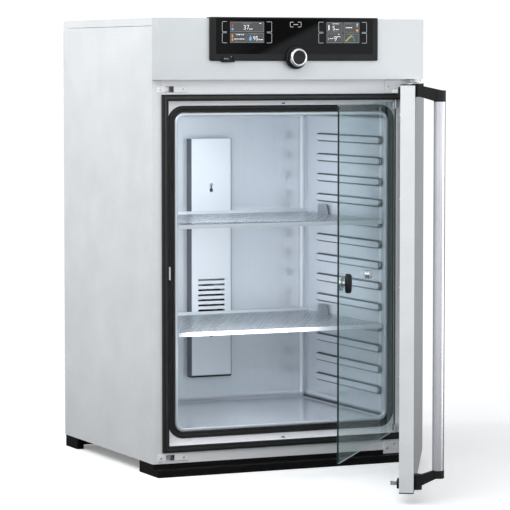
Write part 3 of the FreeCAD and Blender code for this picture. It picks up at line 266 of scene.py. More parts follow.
def insulation_material():
    m = Mat("insulation_wool")
    fib = m.noise(1.0, 5.0, 0.65, m.mapping((90.0, 90.0, 700.0)), 1.5)
    cloud = m.noise(30.0, 4.0, 0.6)
    colour = m.mix(m.ramp(m.math("ADD", m.math("MULTIPLY", fib, 0.6), m.math("MULTIPLY", cloud, 0.4)), 0.3, 0.7), rgb(196, 178, 120), rgb(228, 214, 160))
    m.bsdf(Base_Color=colour, Roughness=0.95, Normal=m.bump(fib, 0.8, 0.0006))
    return m.m


def foil_material():
    """Etched heating mat: copper-brown film with a meander of tracks."""
    m = Mat("heater_foil")
    x, y, z = m.sep(m.co.outputs["Object"])[0:3]
    tr = m.math("SINE", m.math("MULTIPLY", z, 2 * math.pi / 0.009))
    colour = m.mix(m.ramp(tr, -0.1, 0.1), rgb(176, 108, 60), rgb(206, 150, 92))
    m.bsdf(Base_Color=colour, Metallic=0.4, Roughness=m.ramp(m.noise(400.0), 0.3, 0.7, 0.35, 0.5), Normal=m.bump(tr, 0.3, 0.0002))
    return m.m


def board_material():
    m = Mat("circuit_board")
    v = m.n("TexBrick", offset=0.5, squash=0.8, ins={"Vector": m.mapping((1, 1, 1)), "Scale": 90.0, "Mortar Size": 0.03, "Color1": rgb(24, 92, 58), "Color2": rgb(28, 104, 66), "Mortar": rgb(188, 168, 96)})
    m.bsdf(Base_Color=v.outputs["Color"], Roughness=m.ramp(m.noise(500.0), 0.3, 0.7, 0.3, 0.45), Normal=m.bump(v.outputs["Fac"], 0.3, 0.0002))
    return m.m


def gloss_material():
    """Back-printed black control glass, with a faint haze of finger marks and a painted reflection: a grey sheen right
    of a diagonal line.
    """
    m = Mat("control_glass_black")
    smear = m.noise(1.0, 4.0, 0.6, m.mapping((18.0, 18.0, 40.0), (0.3, 0.2, 0.5)), 1.2)
    fine = m.noise(600.0, 3.0, 0.6)
    x, y, z = m.sep(m.co.outputs["Object"])[0:3]
    # Painted reflection: right of this diagonal line the black turns to a grey sheen.
    sheen_line = m.math("SUBTRACT", m.math("MULTIPLY", m.math("ADD", x, 0.1045), 0.4264), m.math("MULTIPLY", m.math("SUBTRACT", z, 1.0887), 0.9046))
    tone = m.mix(m.ramp(sheen_line, -0.004, 0.010), rgb(2, 2, 3), rgb(38, 39, 40))
    colour = m.mix(m.ramp(smear, 0.35, 0.7, 0.0, 0.2), tone, rgb(16, 17, 19))
    m.bsdf(Base_Color=colour, Roughness=m.ramp(m.math("ADD", m.math("MULTIPLY", smear, 0.7), m.math("MULTIPLY", fine, 0.3)), 0.3, 0.7, 0.05, 0.13),
           Normal=m.bump(fine, 0.02, 0.00002), Specular_IOR_Level=0.08)
    return m.m


def handle_material():
    """Satin anodised aluminium tube, ground along its length."""
    m = Mat("handle_aluminium")
    streak = m.noise(1.0, 3.0, 0.6, m.mapping((900.0, 900.0, 4.0)))
    cloud = m.noise(7.0, 2.0, 0.5)
    colour = m.mix(m.ramp(m.math("ADD", m.math("MULTIPLY", streak, 0.6), m.math("MULTIPLY", cloud, 0.4)), 0.3, 0.7), rgb(206, 207, 213), rgb(230, 231, 236))
    m.bsdf(Base_Color=colour, Metallic=0.92, Roughness=m.ramp(streak, 0.3, 0.7, 0.24, 0.34), Normal=m.bump(streak, 0.1, 0.00004))
    return m.m


def chrome_material():
    m = Mat("knob_chrome")
    turn = m.noise(1.0, 2.0, 0.5, m.mapping((1200.0, 80.0, 1200.0)))
    cloud = m.noise(60.0, 3.0, 0.5)
    colour = m.mix(m.ramp(cloud, 0.3, 0.7), rgb(214, 216, 219), rgb(238, 239, 241))
    m.bsdf(Base_Color=colour, Metallic=0.95, Roughness=m.ramp(turn, 0.3, 0.7, 0.14, 0.24), Normal=m.bump(turn, 0.08, 0.00003))
    return m.m


def glass_material():
    """Clear float glass with a green cast: see-through broad faces, dark green ground edges, with the top and bottom
    edges painted light grey as a highlight.
    """
    m = Mat("door_glass")
    a = math.radians(GLASS_DEG)
    face_n = (-math.sin(a), math.cos(a), 0.0)
    dot = m.n("VectorMath", operation="DOT_PRODUCT", ins={0: m.co.outputs["Normal"], 1: face_n}).outputs["Value"]
    edge = m.ramp(m.math("ABSOLUTE", dot), 0.75, 0.35)
    streak = m.noise(1.0, 2.0, 0.5, m.mapping((2.0, 2.0, 0.6)))
    haze = m.noise(260.0, 3.0, 0.6)
    tint = m.mix(m.ramp(streak, 0.35, 0.65), rgb(247, 252, 252), rgb(250, 253, 253))
    clear = m.n("BsdfTransparent", ins={"Color": tint})
    shine = m.n("BsdfGlossy", ins={"Color": rgb(236, 246, 246), "Roughness": m.ramp(haze, 0.3, 0.7, 0.01, 0.05)})
    fres = m.n("Fresnel", ins={"IOR": 1.45}).outputs["Fac"]
    face = m.n("MixShader", ins={0: m.math("MULTIPLY", fres, 0.3), 1: clear.outputs[0], 2: shine.outputs[0]})
    edge_col = m.mix(m.ramp(haze, 0.3, 0.7), rgb(5, 26, 24), rgb(14, 44, 40))
    # Painted highlight: edges facing up or down are made light grey.
    nz = m.sep(m.co.outputs["Normal"])[2]
    edge_col = m.mix(m.ramp(m.math("ABSOLUTE", nz), 0.5, 0.8), edge_col, rgb(168, 178, 180))
    rim = m.n("BsdfPrincipled", ins={"Base Color": edge_col, "Roughness": 0.3, "Coat Weight": 0.1, "Specular IOR Level": 0.3, "Normal": m.bump(haze, 0.15, 0.00005)})
    both = m.n("MixShader", ins={0: edge, 1: face.outputs[0], 2: rim.outputs[0]})
    m.link(both.outputs[0], m.out.inputs["Surface"])
    return m.m


def plug_material():
    m = Mat("silicone_plug")
    fine = m.noise(900.0, 3.0, 0.6)
    colour = m.mix(m.ramp(m.noise(60.0), 0.3, 0.7), rgb(196, 202, 205), rgb(216, 221, 223))
    m.bsdf(Base_Color=colour, Roughness=m.ramp(fine, 0.3, 0.7, 0.4, 0.5), Normal=m.bump(fine, 0.15, 0.00006), Subsurface_Weight=0.1)
    return m.m


def print_material(name, col, emit=0.0):
    """Screen-printed ink or a lit display area, with a slight unevenness; emit sets a glow, which on printed ink is
    painted light.
    """
    m = Mat(name)
    fine = m.noise(2500.0, 2.0, 0.5)
    dark = (col[0] * 0.86, col[1] * 0.86, col[2] * 0.86, 1.0)
    colour = m.mix(m.ramp(fine, 0.3, 0.7), dark, col)
    m.bsdf(Base_Color=colour, Roughness=m.ramp(fine, 0.3, 0.7, 0.3, 0.42), Emission_Color=colour, Emission_Strength=emit)
    return m.m


MATS["insulation"] = insulation_material()
MATS["foil"] = foil_material()
MATS["board"] = board_material()
MATS["gloss"] = gloss_material()
MATS["handle"] = handle_material()
MATS["chrome"] = chrome_material()
MATS["glass"] = glass_material()
MATS["plug"] = plug_material()
# Painted light: the printed marks glow faintly (emission 0.12), though print gives off no light.
MATS["print"] = print_material("mark_print", rgb(196, 198, 200), 0.12)
MATS["screen_back"] = print_material("screen_back", rgb(10, 10, 11), 0.0)
MATS["tile"] = print_material("screen_tile", rgb(66, 67, 68), 0.1)
MATS["tile_edge"] = print_material("screen_tile_edge", rgb(122, 123, 124), 0.15)
MATS["digit"] = print_material("screen_digit", rgb(236, 238, 240), 0.5)
MATS["red"] = print_material("screen_red", rgb(206, 58, 62), 0.35)
MATS["blue"] = print_material("screen_blue", rgb(92, 168, 224), 0.35)
MATS["orange"] = print_material("screen_orange", rgb(240, 156, 48), 0.35)
MATS["green"] = print_material("screen_green", rgb(124, 196, 112), 0.35)
MATS["teal"] = print_material("screen_teal", rgb(48, 170, 176), 0.35)
MATS["yellow"] = print_material("screen_yellow", rgb(226, 200, 70), 0.35)

BY_NODE = {
    "side_panel_left": "casing", "side_panel_right": "casing", "top_cover": "cover", "rear_panel": "rear", "base_pan": "rear",
    "front_frame": "frame", "control_fascia": "fascia", "outer_door_shell": "casing", "outer_door_liner": "frame",
    "outer_frame_seal": "seal", "glass_door_seal": "seal", "inner_chamber": "chamber", "air_guide": "guide",
    "shelf_upper": "shelf", "shelf_lower": "shelf", "insulation_block": "insulation", "door_insulation": "insulation",
    "heating_mats": "foil", "fan_motor": "dark_steel", "fan_wheel": "dark_steel", "chamber_sensors": "small_steel",
    "control_bezel": "bezel", "knob_collar": "black_plastic", "knob_cap": "black_plastic", "switch_frame": "black_plastic",
    "power_rocker": "black_plastic", "plinth_centre": "plinth", "plinth_ends": "plinth", "rear_foot_frame": "plinth",
    "power_inlet": "black_plastic", "door_hinge_bushes": "black_plastic", "latch_housings": "black_plastic",
    "corner_caps": "black_plastic", "handle_brackets": "black_plastic", "glass_latch_knob": "black_plastic",
    "control_glass": "gloss", "displays": "screen_back", "knob_ring": "chrome", "handle_bar": "handle",
    "latch_keepers": "frame", "hinge_brackets": "frame", "control_board": "board", "glass_pane": "glass", "port_plug": "plug",
}
for node_name, obj in N.items():
    mat = MATS[BY_NODE.get(node_name, "small_steel")]
    obj.data.materials.clear()
    obj.data.materials.append(mat)


# ------------------------------------------------------------------------------------------------------- mesh tools
def turned(axis, deg):
    a = Vector((axis[0] * MM, axis[1] * MM, 0))
    return Matrix.Translation(a) @ Matrix.Rotation(math.radians(deg), 4, "Z") @ Matrix.Translation(-a)


ON_DOOR = turned(DOOR_AXIS, DOOR_DEG)
ON_GLASS = turned(GLASS_AXIS, GLASS_DEG)
PLAIN = Matrix.Identity(4)


class Shape:
    """Collects points and faces in millimetres, several materials allowed."""

    def __init__(self):
        self.v, self.f, self.mi, self.mats = [], [], [], []

    def slot_of(self, key):
        if key not in self.mats:
            self.mats.append(key)
        return self.mats.index(key)

    def add(self, verts, faces, key):
        k, s = len(self.v), self.slot_of(key)
        self.v += [tuple(p) for p in verts]
        self.f += [tuple(i + k for i in f) for f in faces]
        self.mi += [s] * len(faces)

    def prism(self, outline, y0, y1, key, bevel=0.0):
        """A flat piece seen from the front: outline of (x, z) points, from y0 (front) to y1 (back), with a chamfered front edge."""
        n = len(outline)
        cx = sum(p[0] for p in outline) / n
        cz = sum(p[1] for p in outline) / n
        rings = [(outline, y1)]
        if bevel > 0:
            rings.append((outline, y0 + bevel))
            shrunk = inset(outline, bevel)
            rings.append((shrunk, y0))
        else:
            rings.append((outline, y0))
        verts = [(x, y, z) for pts, y in rings for x, z in pts]
        faces = []
        for r in range(len(rings) - 1):
            for i in range(n):
                j = (i + 1) % n
                faces.append((r * n + i, r * n + j, (r + 1) * n + j, (r + 1) * n + i))
        faces.append(tuple(range(n))[::-1])
        faces.append(tuple((len(rings) - 1) * n + i for i in range(n)))
        self.add(verts, faces, key)

    def lathe(self, centre, axis, profile, seg, key, closed=False):
        """Turn a profile of (distance along axis, radius) round an axis; radius 0 ends close the form."""
        a = Vector(axis).normalized()
        u = a.orthogonal().normalized()
        w = a.cross(u)
        verts, rows = [], []
        for d, r in profile:
            if r <= 1e-9:
                rows.append([len(verts)])
                verts.append(Vector(centre) + a * d)
            else:
                rows.append(list(range(len(verts), len(verts) + seg)))
                for i in range(seg):
                    t = 2 * math.pi * i / seg
                    verts.append(Vector(centre) + a * d + (u * math.cos(t) + w * math.sin(t)) * r)
        faces = []
        pairs = list(zip(rows, rows[1:])) + ([(rows[-1], rows[0])] if closed else [])
        for p, q in pairs:
            for i in range(seg):
                j = (i + 1) % seg
                if len(p) == 1 and len(q) == 1:
                    continue
                if len(p) == 1:
                    faces.append((p[0], q[j], q[i]))
                elif len(q) == 1:
                    faces.append((p[i], p[j], q[0]))
                else:
                    faces.append((p[i], p[j], q[j], q[i]))
        self.add(verts, faces, key)

    def stroke(self, pts, width, y0, y1, key, closed=False):
        """A thin raised line of constant width along (x, z) points."""
        n = len(pts)
        left, right = [], []
        for i in range(n):
            p = Vector(pts[i])
            a = Vector(pts[i - 1]) if (i > 0 or closed) else None
            b = Vector(pts[(i + 1) % n]) if (i < n - 1 or closed) else None
            d1 = (p - a).normalized() if a is not None else None
            d2 = (b - p).normalized() if b is not None else None
            d1 = d1 if d1 is not None else d2
            d2 = d2 if d2 is not None else d1
            n1, n2 = Vector((-d1.y, d1.x)), Vector((-d2.y, d2.x))
            m = (n1 + n2)
            m = m.normalized() if m.length > 1e-6 else n1
            s = width / 2 / max(0.4, m.dot(n1))
            left.append(p + m * s)
            right.append(p - m * s)
        verts = [(p.x, y0, p.y) for p in left] + [(p.x, y0, p.y) for p in right] + [(p.x, y1, p.y) for p in left] + [(p.x, y1, p.y) for p in right]
        L, R, L2, R2 = 0, n, 2 * n, 3 * n
        faces = []
        for i in range(n if closed else n - 1):
            j = (i + 1) % n
            faces += [(L + i, R + i, R + j, L + j), (L2 + j, R2 + j, R2 + i, L2 + i), (L + i, L + j, L2 + j, L2 + i), (R + j, R + i, R2 + i, R2 + j)]
        if not closed:
            faces += [(L, L2, R2, R), (L + n - 1, R + n - 1, R2 + n - 1, L2 + n - 1)]
        self.add(verts, faces, key)

    def done(self, name, body, place=PLAIN, replaces=(), smooth=35.0, bevel=0.0, segs=2):
        mesh = bpy.data.meshes.new(name)
        mesh.from_pydata([tuple(place @ (Vector(p) * MM)) for p in self.v], [], self.f)
        for key in self.mats:
            mesh.materials.append(MATS[key])
        mesh.polygons.foreach_set("material_index", self.mi)
        bm = bmesh.new()
        bm.from_mesh(mesh)
        bmesh.ops.recalc_face_normals(bm, faces=bm.faces)
        bm.to_mesh(mesh)
        bm.free()
        mesh.update()
        ob = bpy.data.objects.new(name, mesh)
        bpy.context.scene.collection.objects.link(ob)
        if bevel > 0:
            b = ob.modifiers.new("edges", "BEVEL")
            b.width = bevel * MM
            b.segments = segs
            b.limit_method = "ANGLE"
            b.angle_limit = math.radians(40)
        mesh.shade_smooth()
        mesh.set_sharp_from_angle(angle=math.radians(smooth))
        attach(ob, body)
        if replaces:
            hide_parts(*replaces)
        return ob


def inset(outline, d):
    """Moves each corner of a closed outline inwards by d."""
    n = len(outline)
    area = sum(outline[i][0] * outline[(i + 1) % n][1] - outline[(i + 1) % n][0] * outline[i][1] for i in range(n))
    sign = 1.0 if area > 0 else -1.0
    res = []
    for i in range(n):
        p, a, b = Vector(outline[i]), Vector(outline[i - 1]), Vector(outline[(i + 1) % n])
        d1, d2 = (p - a).normalized(), (b - p).normalized()
        n1, n2 = Vector((-d1.y, d1.x)) * sign, Vector((-d2.y, d2.x)) * sign
        m = (n1 + n2)
        m = m.normalized() if m.length > 1e-6 else n1
        res.append(tuple(p + m * (d / max(0.35, m.dot(n1)))))
    return res


def round_rect(x0, z0, x1, z1, r, seg=6):
    pts = []
    for cx, cz, a0 in ((x1 - r, z1 - r, 0), (x0 + r, z1 - r, 90), (x0 + r, z0 + r, 180), (x1 - r, z0 + r, 270)):
        for i in range(seg + 1):
            t = math.radians(a0 + 90 * i / seg)
            pts.append((cx + r * math.cos(t), cz + r * math.sin(t)))
    return pts


def ring(shape, x0, z0, x1, z1, r_in, profile, y_base, keys, seg=12):
    """Sweeps a closed profile of (outwards, towards the front) points round a rectangle; r_in 0 gives mitred corners."""
    stations = []
    for cx, cz, sx, sz, a0 in ((x1, z1, 1, 1, 0), (x0, z1, -1, 1, 90), (x0, z0, -1, -1, 180), (x1, z0, 1, -1, 270)):
        if r_in <= 0:
            stations.append([(cx + sx * u, y_base - v, cz + sz * u) for u, v in profile])
        else:
            ox, oz = cx - sx * r_in, cz - sz * r_in
            for i in range(seg + 1):
                t = math.radians(a0 + 90 * i / seg)
                stations.append([(ox + (r_in + u) * math.cos(t), y_base - v, oz + (r_in + u) * math.sin(t)) for u, v in profile])
    n, k = len(stations), len(profile)
    verts = [p for s in stations for p in s]
    for q in range(k):
        q2 = (q + 1) % k
        faces = [(i * k + q, i * k + q2, ((i + 1) % n) * k + q2, ((i + 1) % n) * k + q) for i in range(n)]
        shape.add(verts if q == 0 else [], [], keys[q])
        base = len(shape.v) - len(verts)
        s = shape.slot_of(keys[q])
        shape.f += [tuple(a + base for a in f) for f in faces]
        shape.mi += [s] * len(faces)


def arc(cx, cz, r, a0, a1, n=8):
    return [(cx + r * math.cos(math.radians(a0 + (a1 - a0) * i / n)), cz + r * math.sin(math.radians(a0 + (a1 - a0) * i / n))) for i in range(n + 1)]


# ------------------------------------------------------------------------------------------------------------ seals
s = Shape()
prof = [(0, 0), (0, 4.2), (0.9, 4.8), (0.9, 5.6), (0.2, 6.6), (0.6, 8.8), (2.0, 9.9), (3.2, 9.8), (3.9, 8.9), (4.4, 8.9), (5.0, 10.1), (6.2, 10.5),
        (10.8, 10.5), (12.0, 10.1), (12.6, 8.9), (13.1, 8.9), (13.8, 9.8), (15.0, 9.9), (16.4, 8.8), (16.8, 6.6), (16.1, 5.6), (16.1, 4.8), (17, 4.2), (17, 0)]
# The middle of the profile's front face takes the lighter rubber copy: painted light on the lit face.
keys = ["seal_face" if 4.9 < (prof[i][0] + prof[(i + 1) % len(prof)][0]) / 2 < 12.2 and prof[i][1] > 5 else "seal" for i in range(len(prof))]
ring(s, -336.5, 76, 336.5, 967.5, 0, prof, 0.0, keys)
s.done("outer_seal_profile", "cabinet", replaces=("outer_frame_seal",), smooth=40)

s = Shape()
prof = [(0, 0), (0, 3.2), (0.7, 4.9), (2.2, 5.6), (4.4, 5.5), (5.6, 4.5), (6.4, 4.3), (7.2, 4.8), (8.6, 5.7), (11.2, 6.0), (14.2, 5.6), (16.3, 4.5), (17.5, 2.6), (17.5, 0)]
ring(s, -309.5, 108.5, 309.5, 937.5, 25.0, prof, 23.0, ["seal"] * len(prof), 16)
s.done("inner_seal_profile", "cabinet", replaces=("glass_door_seal",), smooth=50)


# ---------------------------------------------------------------------------------------------------------- shelves
def perforated_shelf(name, top, body, node):
    """A folded tray of perforated sheet: staggered round holes, a rounded front flange, an upright rear lip and side tabs."""
    s = Shape()
    half, y_front, y_rear, g, flange = 296.0, 25.0, 489.0, 1.5, 10.5
    pitch = 12.0
    row_h = pitch * math.sqrt(3) / 2
    hole = 3.6
    n_rows = 42
    n_cols = 94                      # half pitches across
    x_first = -n_cols * pitch / 4
    xs = [-half] + [x_first + i * pitch / 2 for i in range(n_cols + 1)] + [half]
    y_first = (y_front + y_rear) / 2 - n_rows * row_h / 2
    path = []                        # (top point, bottom point) along the sheet, front to rear
    ro, ri = 2.6, 1.1
    path.append(((y_front, top - flange), (y_front + g, top - flange)))
    path.append(((y_front, top - ro), (y_front + g, top - ro)))
    for i in range(1, 6):
        t = math.radians(180 - 18 * i)
        path.append(((y_front + ro + ro * math.cos(t), top - ro + ro * math.sin(t)), (y_front + ro + ri * math.cos(t), top - ro + ri * math.sin(t))))
    first = len(path)
    for i in range(n_rows + 1):
        y = y_first + i * row_h
        path.append(((y, top), (y, top - g)))
    last = len(path) - 1
    for i in range(0, 6):
        t = math.radians(-90 + 18 * i)
        path.append(((y_rear - ro + ri * math.cos(t), top + ri + ri * math.sin(t) + 0.0), (y_rear - ro + ro * math.cos(t), top + ri + ro * math.sin(t))))
    path.append(((y_rear - g, top + 8), (y_rear, top + 8)))
    nx = len(xs)
    verts, faces = [], []
    for (ty, tz), (by, bz) in path:
        verts += [(x, ty, tz) for x in xs]
        verts += [(x, by, bz) for x in xs]
    T = lambda r, c: r * 2 * nx + c
    B = lambda r, c: r * 2 * nx + nx + c
    for r in range(len(path) - 1):
        field = first <= r < last
        c = 0
        while c < nx - 1:
            lo = 1 + (r - first) % 2
            if field and 1 <= c and c + 2 <= nx - 2 and c >= lo and (c - lo) % 2 == 0:
                cx, cy = xs[c + 1], (path[r][0][0] + path[r + 1][0][0]) / 2
                k = len(verts)
                for z in (top, top - g):
                    for i in range(16):
                        t = 2 * math.pi * i / 16 + math.radians(225)
                        verts.append((cx + hole * math.cos(t), cy + hole * math.sin(t), z))
                rim_t = [T(r, c), T(r, c + 1), T(r, c + 2), None, T(r + 1, c + 2), T(r + 1, c + 1), T(r + 1, c), None]
                rim_b = [B(r, c), B(r, c + 1), B(r, c + 2), None, B(r + 1, c + 2), B(r + 1, c + 1), B(r + 1, c), None]
                ang = [0, 2, 4, None, 8, 10, 12, None]
                corners = [(0, 1), (1, 2), (2, 4), (4, 5), (5, 6), (6, 0)]
                for a, b in corners:
                    i0, i1 = ang[a], (ang[b] if b else 16)
                    inner = [k + (i % 16) for i in range(i0, i1 + 1)]
                    faces.append(tuple([rim_t[a], rim_t[b]] + inner[::-1]))
                    inner = [k + 16 + (i % 16) for i in range(i0, i1 + 1)]
                    faces.append(tuple([rim_b[b], rim_b[a]] + inner))
                for i in range(16):
                    j = (i + 1) % 16
                    faces.append((k + i, k + j, k + 16 + j, k + 16 + i))
                c += 2
                continue
            faces.append((T(r, c), T(r, c + 1), T(r + 1, c + 1), T(r + 1, c)))
            faces.append((B(r, c + 1), B(r, c), B(r + 1, c), B(r + 1, c + 1)))
            c += 1
        faces.append((T(r, 0), T(r + 1, 0), B(r + 1, 0), B(r, 0)))
        faces.append((T(r + 1, nx - 1), T(r, nx - 1), B(r, nx - 1), B(r + 1, nx - 1)))
    for c in range(nx - 1):
        faces.append((T(0, c + 1), T(0, c), B(0, c), B(0, c + 1)))
        e = len(path) - 1
        faces.append((T(e, c), T(e, c + 1), B(e, c + 1), B(e, c)))
    s.add(verts, faces, "shelf")
    for x0 in (half - 3.5, -half + 2.2):
        out = [(352, top - 0.4), (420, top - 0.4)] + arc(411.5, top + 21.5, 4, 15, 90, 5) + arc(364.5, top + 21.5, 4, 90, 165, 5)
        n = len(out)
        v = [(x0, y, z) for y, z in out] + [(x0 + 1.3, y, z) for y, z in out]
        f = [tuple(range(n)), tuple(range(2 * n - 1, n - 1, -1))] + [(i, (i + 1) % n, n + (i + 1) % n, n + i) for i in range(n)]
        s.add(v, f, "shelf")
    return s.done(name, body, replaces=(node,), smooth=35)


lo_u, hi_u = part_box("shelf_upper")
lo_l, hi_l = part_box("shelf_lower")
perforated_shelf("perforated_shelf_upper", hi_u.z * 1000 - 25.5, "upper_shelf", "shelf_upper")
perforated_shelf("perforated_shelf_lower", hi_l.z * 1000 - 25.5, "lower_shelf", "shelf_lower")


# ----------------------------------------------------------------------------------------------------------- screws
def screw(shape, centre, axis, r, h, key="small_steel", seg=24):
    """Pan-head machine screw with a hexagon socket."""
    a = Vector(axis).normalized()
    u = a.orthogonal().normalized()
    w = a.cross(u)
    c = Vector(centre)
    rows = []
    for d, rr in ((0, r), (h * 0.35, r), (h * 0.75, r * 0.9), (h * 0.95, r * 0.66), (h, r * 0.52)):
        rows.append([c + a * d + (u * math.cos(2 * math.pi * i / seg) + w * math.sin(2 * math.pi * i / seg)) * rr for i in range(seg)])
    for d, rr in ((h * 0.98, r * 0.44), (h * 0.4, r * 0.42)):
        pts = []
        for i in range(seg):
            t = 2 * math.pi * i / seg
            k = math.cos(math.pi / 6) / math.cos((t % (math.pi / 3)) - math.pi / 6)
            pts.append(c + a * d + (u * math.cos(t) + w * math.sin(t)) * rr * k)
        rows.append(pts)
    verts = [p for row in rows for p in row]
    faces = [tuple(range(seg))[::-1]]
    for q in range(len(rows) - 1):
        faces += [(q * seg + i, q * seg + (i + 1) % seg, (q + 1) * seg + (i + 1) % seg, (q + 1) * seg + i) for i in range(seg)]
    faces.append(tuple((len(rows) - 1) * seg + i for i in range(seg)))
    shape.add(verts, faces, key)


s = Shape()
for x in (-366, 366):
    for z in (92, 307, 523, 737, 940):
        screw(s, (x, -11.0, z), (0, 1, 0), 4.2, 1.6)
s.done("liner_screw_heads", "outer_door", ON_DOOR, ("liner_screws",), 30)

s = Shape()
for z in (998, 46):
    for dx in (-22, 42):
        screw(s, (-336 + dx, -3.0, z), (0, -1, 0), 3.2, 1.2)
for x, z in ((297, 1004), (318, 994), (345, 1004), (297, 36), (318, 47), (345, 36)):
    screw(s, (x, -3.0, z), (0, -1, 0), 4.0, 2.0)
s.done("frame_screw_heads", "cabinet", replaces=("frame_screws",), smooth=30)

s = Shape()
for x in (-366, -190, 0, 190, 366):
    for z in (52, 1142):
        screw(s, (x, 643.5, z), (0, 1, 0), 3.6, 1.5)
for x in (-366, 366):
    for z in (300, 560, 820):
        screw(s, (x, 643.5, z), (0, 1, 0), 3.6, 1.5)
s.done("rear_cover_screws", "cabinet", smooth=30)


# ------------------------------------------------------------------------------------------------------ turn knob
KZ = 1079.4
s = Shape()
s.lathe((0, 0, KZ), (0, -1, 0), [(66.5, 17.3), (66.5, 22.8), (67.3, 23.8), (70.0, 24.0), (74.5, 24.0), (77.2, 23.6), (79.0, 22.4), (79.9, 20.8), (80.0, 19.4), (79.4, 18.0), (78.2, 17.3)],
        72, "chrome", closed=True)
s.done("knob_ring_turned", "knob", replaces=("knob_ring",), smooth=50)
s = Shape()
s.lathe((0, 0, KZ), (0, -1, 0), [(66.6, 0.0), (66.6, 17.0), (77.2, 17.0), (78.2, 16.4), (78.5, 15.2), (78.3, 14.0), (77.9, 12.4), (77.3, 9.0), (76.9, 5.0), (76.8, 0.0)], 72, "black_plastic")
s.done("knob_cap_dished", "knob", replaces=("knob_cap",), smooth=50)
s = Shape()
s.lathe((0, 0, KZ), (0, -1, 0), [(56.0, 3.06), (56.0, 30.0), (61.4, 30.0), (62.6, 29.6), (63.5, 28.8), (64.0, 27.4), (64.0, 26.2), (63.2, 25.6), (62.9, 20.0), (62.9, 3.06)], 72, "black_plastic", closed=True)
s.done("knob_collar_turned", "cabinet", replaces=("knob_collar",), smooth=50)


# ------------------------------------------------------------------------------------------------ displays and marks
FACE = -56.6
SCREEN = -56.5
DIG = {
    "0": [arc(0.5, 1.15, 0.42, 0, 180) + arc(0.5, 0.45, 0.42, 180, 360) + [(0.92, 1.15)]],
    "3": [arc(0.46, 1.18, 0.38, 150, -90, 10) + arc(0.46, 0.42, 0.42, 90, -150, 10)],
    "5": [[(0.86, 1.57), (0.2, 1.57), (0.14, 0.9)] + arc(0.46, 0.46, 0.45, 125, -150, 12)],
    "7": [[(0.08, 1.57), (0.9, 1.57), (0.38, 0.0)]],
    "9": [arc(0.5, 1.14, 0.42, -20, 340, 16), [(0.92, 1.1), (0.9, 0.7), (0.72, 0.2), (0.4, 0.0)]],
    "%": [arc(0.2, 1.35, 0.16, 0, 360, 10), arc(0.8, 0.2, 0.16, 0, 360, 10), [(0.85, 1.5), (0.15, 0.05)]],
    "o": [arc(0.25, 1.4, 0.17, 0, 360, 10)],
    ".": [[(0.1, 0.0), (0.1, 0.16)]],
}
WIDE = {".": 0.42, "o": 0.7}


def number(shape, text, x, z, size, width, key="digit"):
    """A reading in plain stroked figures; x is the left end, z the foot, size the height."""
    k = size / 1.6
    for ch in text:
        for line in DIG[ch]:
            shape.stroke([(x + px * k, z + pz * k) for px, pz in line], width, SCREEN - 0.09, SCREEN - 0.03, key)
        x += (WIDE.get(ch, 1.25)) * k


def tile(shape, x0, z0, x1, z1):
    shape.prism(round_rect(x0, z0, x1, z1, 0.8, 3), SCREEN - 0.035, SCREEN, "tile_edge")
    shape.prism(round_rect(x0 + 1.2, z0 + 1.2, x1 - 1.2, z1 - 1.2, 0.5, 3), SCREEN - 0.05, SCREEN - 0.036, "tile")


def small_bars(shape, x, z, widths, gap=1.2, h=1.3, key="digit"):
    for w in widths:
        shape.prism([(x, z), (x + w, z), (x + w, z + h), (x, z + h)], SCREEN - 0.08, SCREEN - 0.05, key)
        x += w + gap


s = Shape()
s.prism(round_rect(-186.5, 1116.4, -89.5, 1171.5, 1.0, 3), SCREEN - 0.0, SCREEN + 0.9, "screen_back")
X0, X1, Z0, Z1, ZM = -185.3, -90.7, 1117.4, 1170.6, 1143.2
tile(s, X0, ZM + 1.5, X1, Z1)
tile(s, X0, Z0, X0 + 45.4, ZM - 1.5)
tile(s, X0 + 48.4, Z0, X1, ZM - 1.5)
number(s, "37", X0 + 37, ZM + 8.0, 11.0, 1.25)
small_bars(s, X0 + 53.5, ZM + 8.2, (3.2, 4.2), 1.4, 2.0)
small_bars(s, X0 + 34, Z1 - 4.4, (8, 5, 10), 1.4, 1.2, "tile_edge")
small_bars(s, X0 + 82, Z1 - 4.6, (5,), 1, 1.6)
small_bars(s, X0 + 44, ZM + 3.4, (4, 9), 2.0, 1.2, "tile_edge")
s.prism(round_rect(X0 + 5.0, ZM + 13.5, X0 + 7.4, ZM + 23.0, 1.1, 4), SCREEN - 0.09, SCREEN - 0.05, "red")
s.prism(arc(X0 + 6.2, ZM + 8.6, 2.9, 0, 345, 18), SCREEN - 0.09, SCREEN - 0.05, "blue")
s.prism(round_rect(X0 + 4.0, Z0 + 13.6, X0 + 7.6, Z0 + 20.6, 1.6, 4), SCREEN - 0.09, SCREEN - 0.05, "orange")
s.prism(round_rect(X0 + 4.0, Z0 + 4.2, X0 + 7.6, Z0 + 11.2, 1.6, 4), SCREEN - 0.09, SCREEN - 0.05, "orange")
small_bars(s, X0 + 17, Z0 + 19.4, (3, 5, 2, 4), 2.4, 2.2)
small_bars(s, X0 + 11, Z0 + 8.4, (6, 4, 2, 6, 5), 1.3, 1.8)
small_bars(s, X0 + 12, Z0 + 3.4, (8,), 1, 1.2, "tile_edge")
drop = [(X0 + 56.5, Z0 + 19.5)] + arc(X0 + 56.5, Z0 + 9.2, 4.1, 25, -205, 14)
s.prism(drop, SCREEN - 0.09, SCREEN - 0.05, "blue")
number(s, "95", X0 + 64.0, Z0 + 6.5, 10.0, 1.2)
small_bars(s, X0 + 80.0, Z0 + 6.8, (4.4, 5.6), 1.4, 2.0)
small_bars(s, X0 + 56, Z0 + 21.3, (9, 6), 1.4, 1.1, "tile_edge")
small_bars(s, X0 + 72, Z0 + 2.8, (7, 8), 1.6, 1.1, "tile_edge")

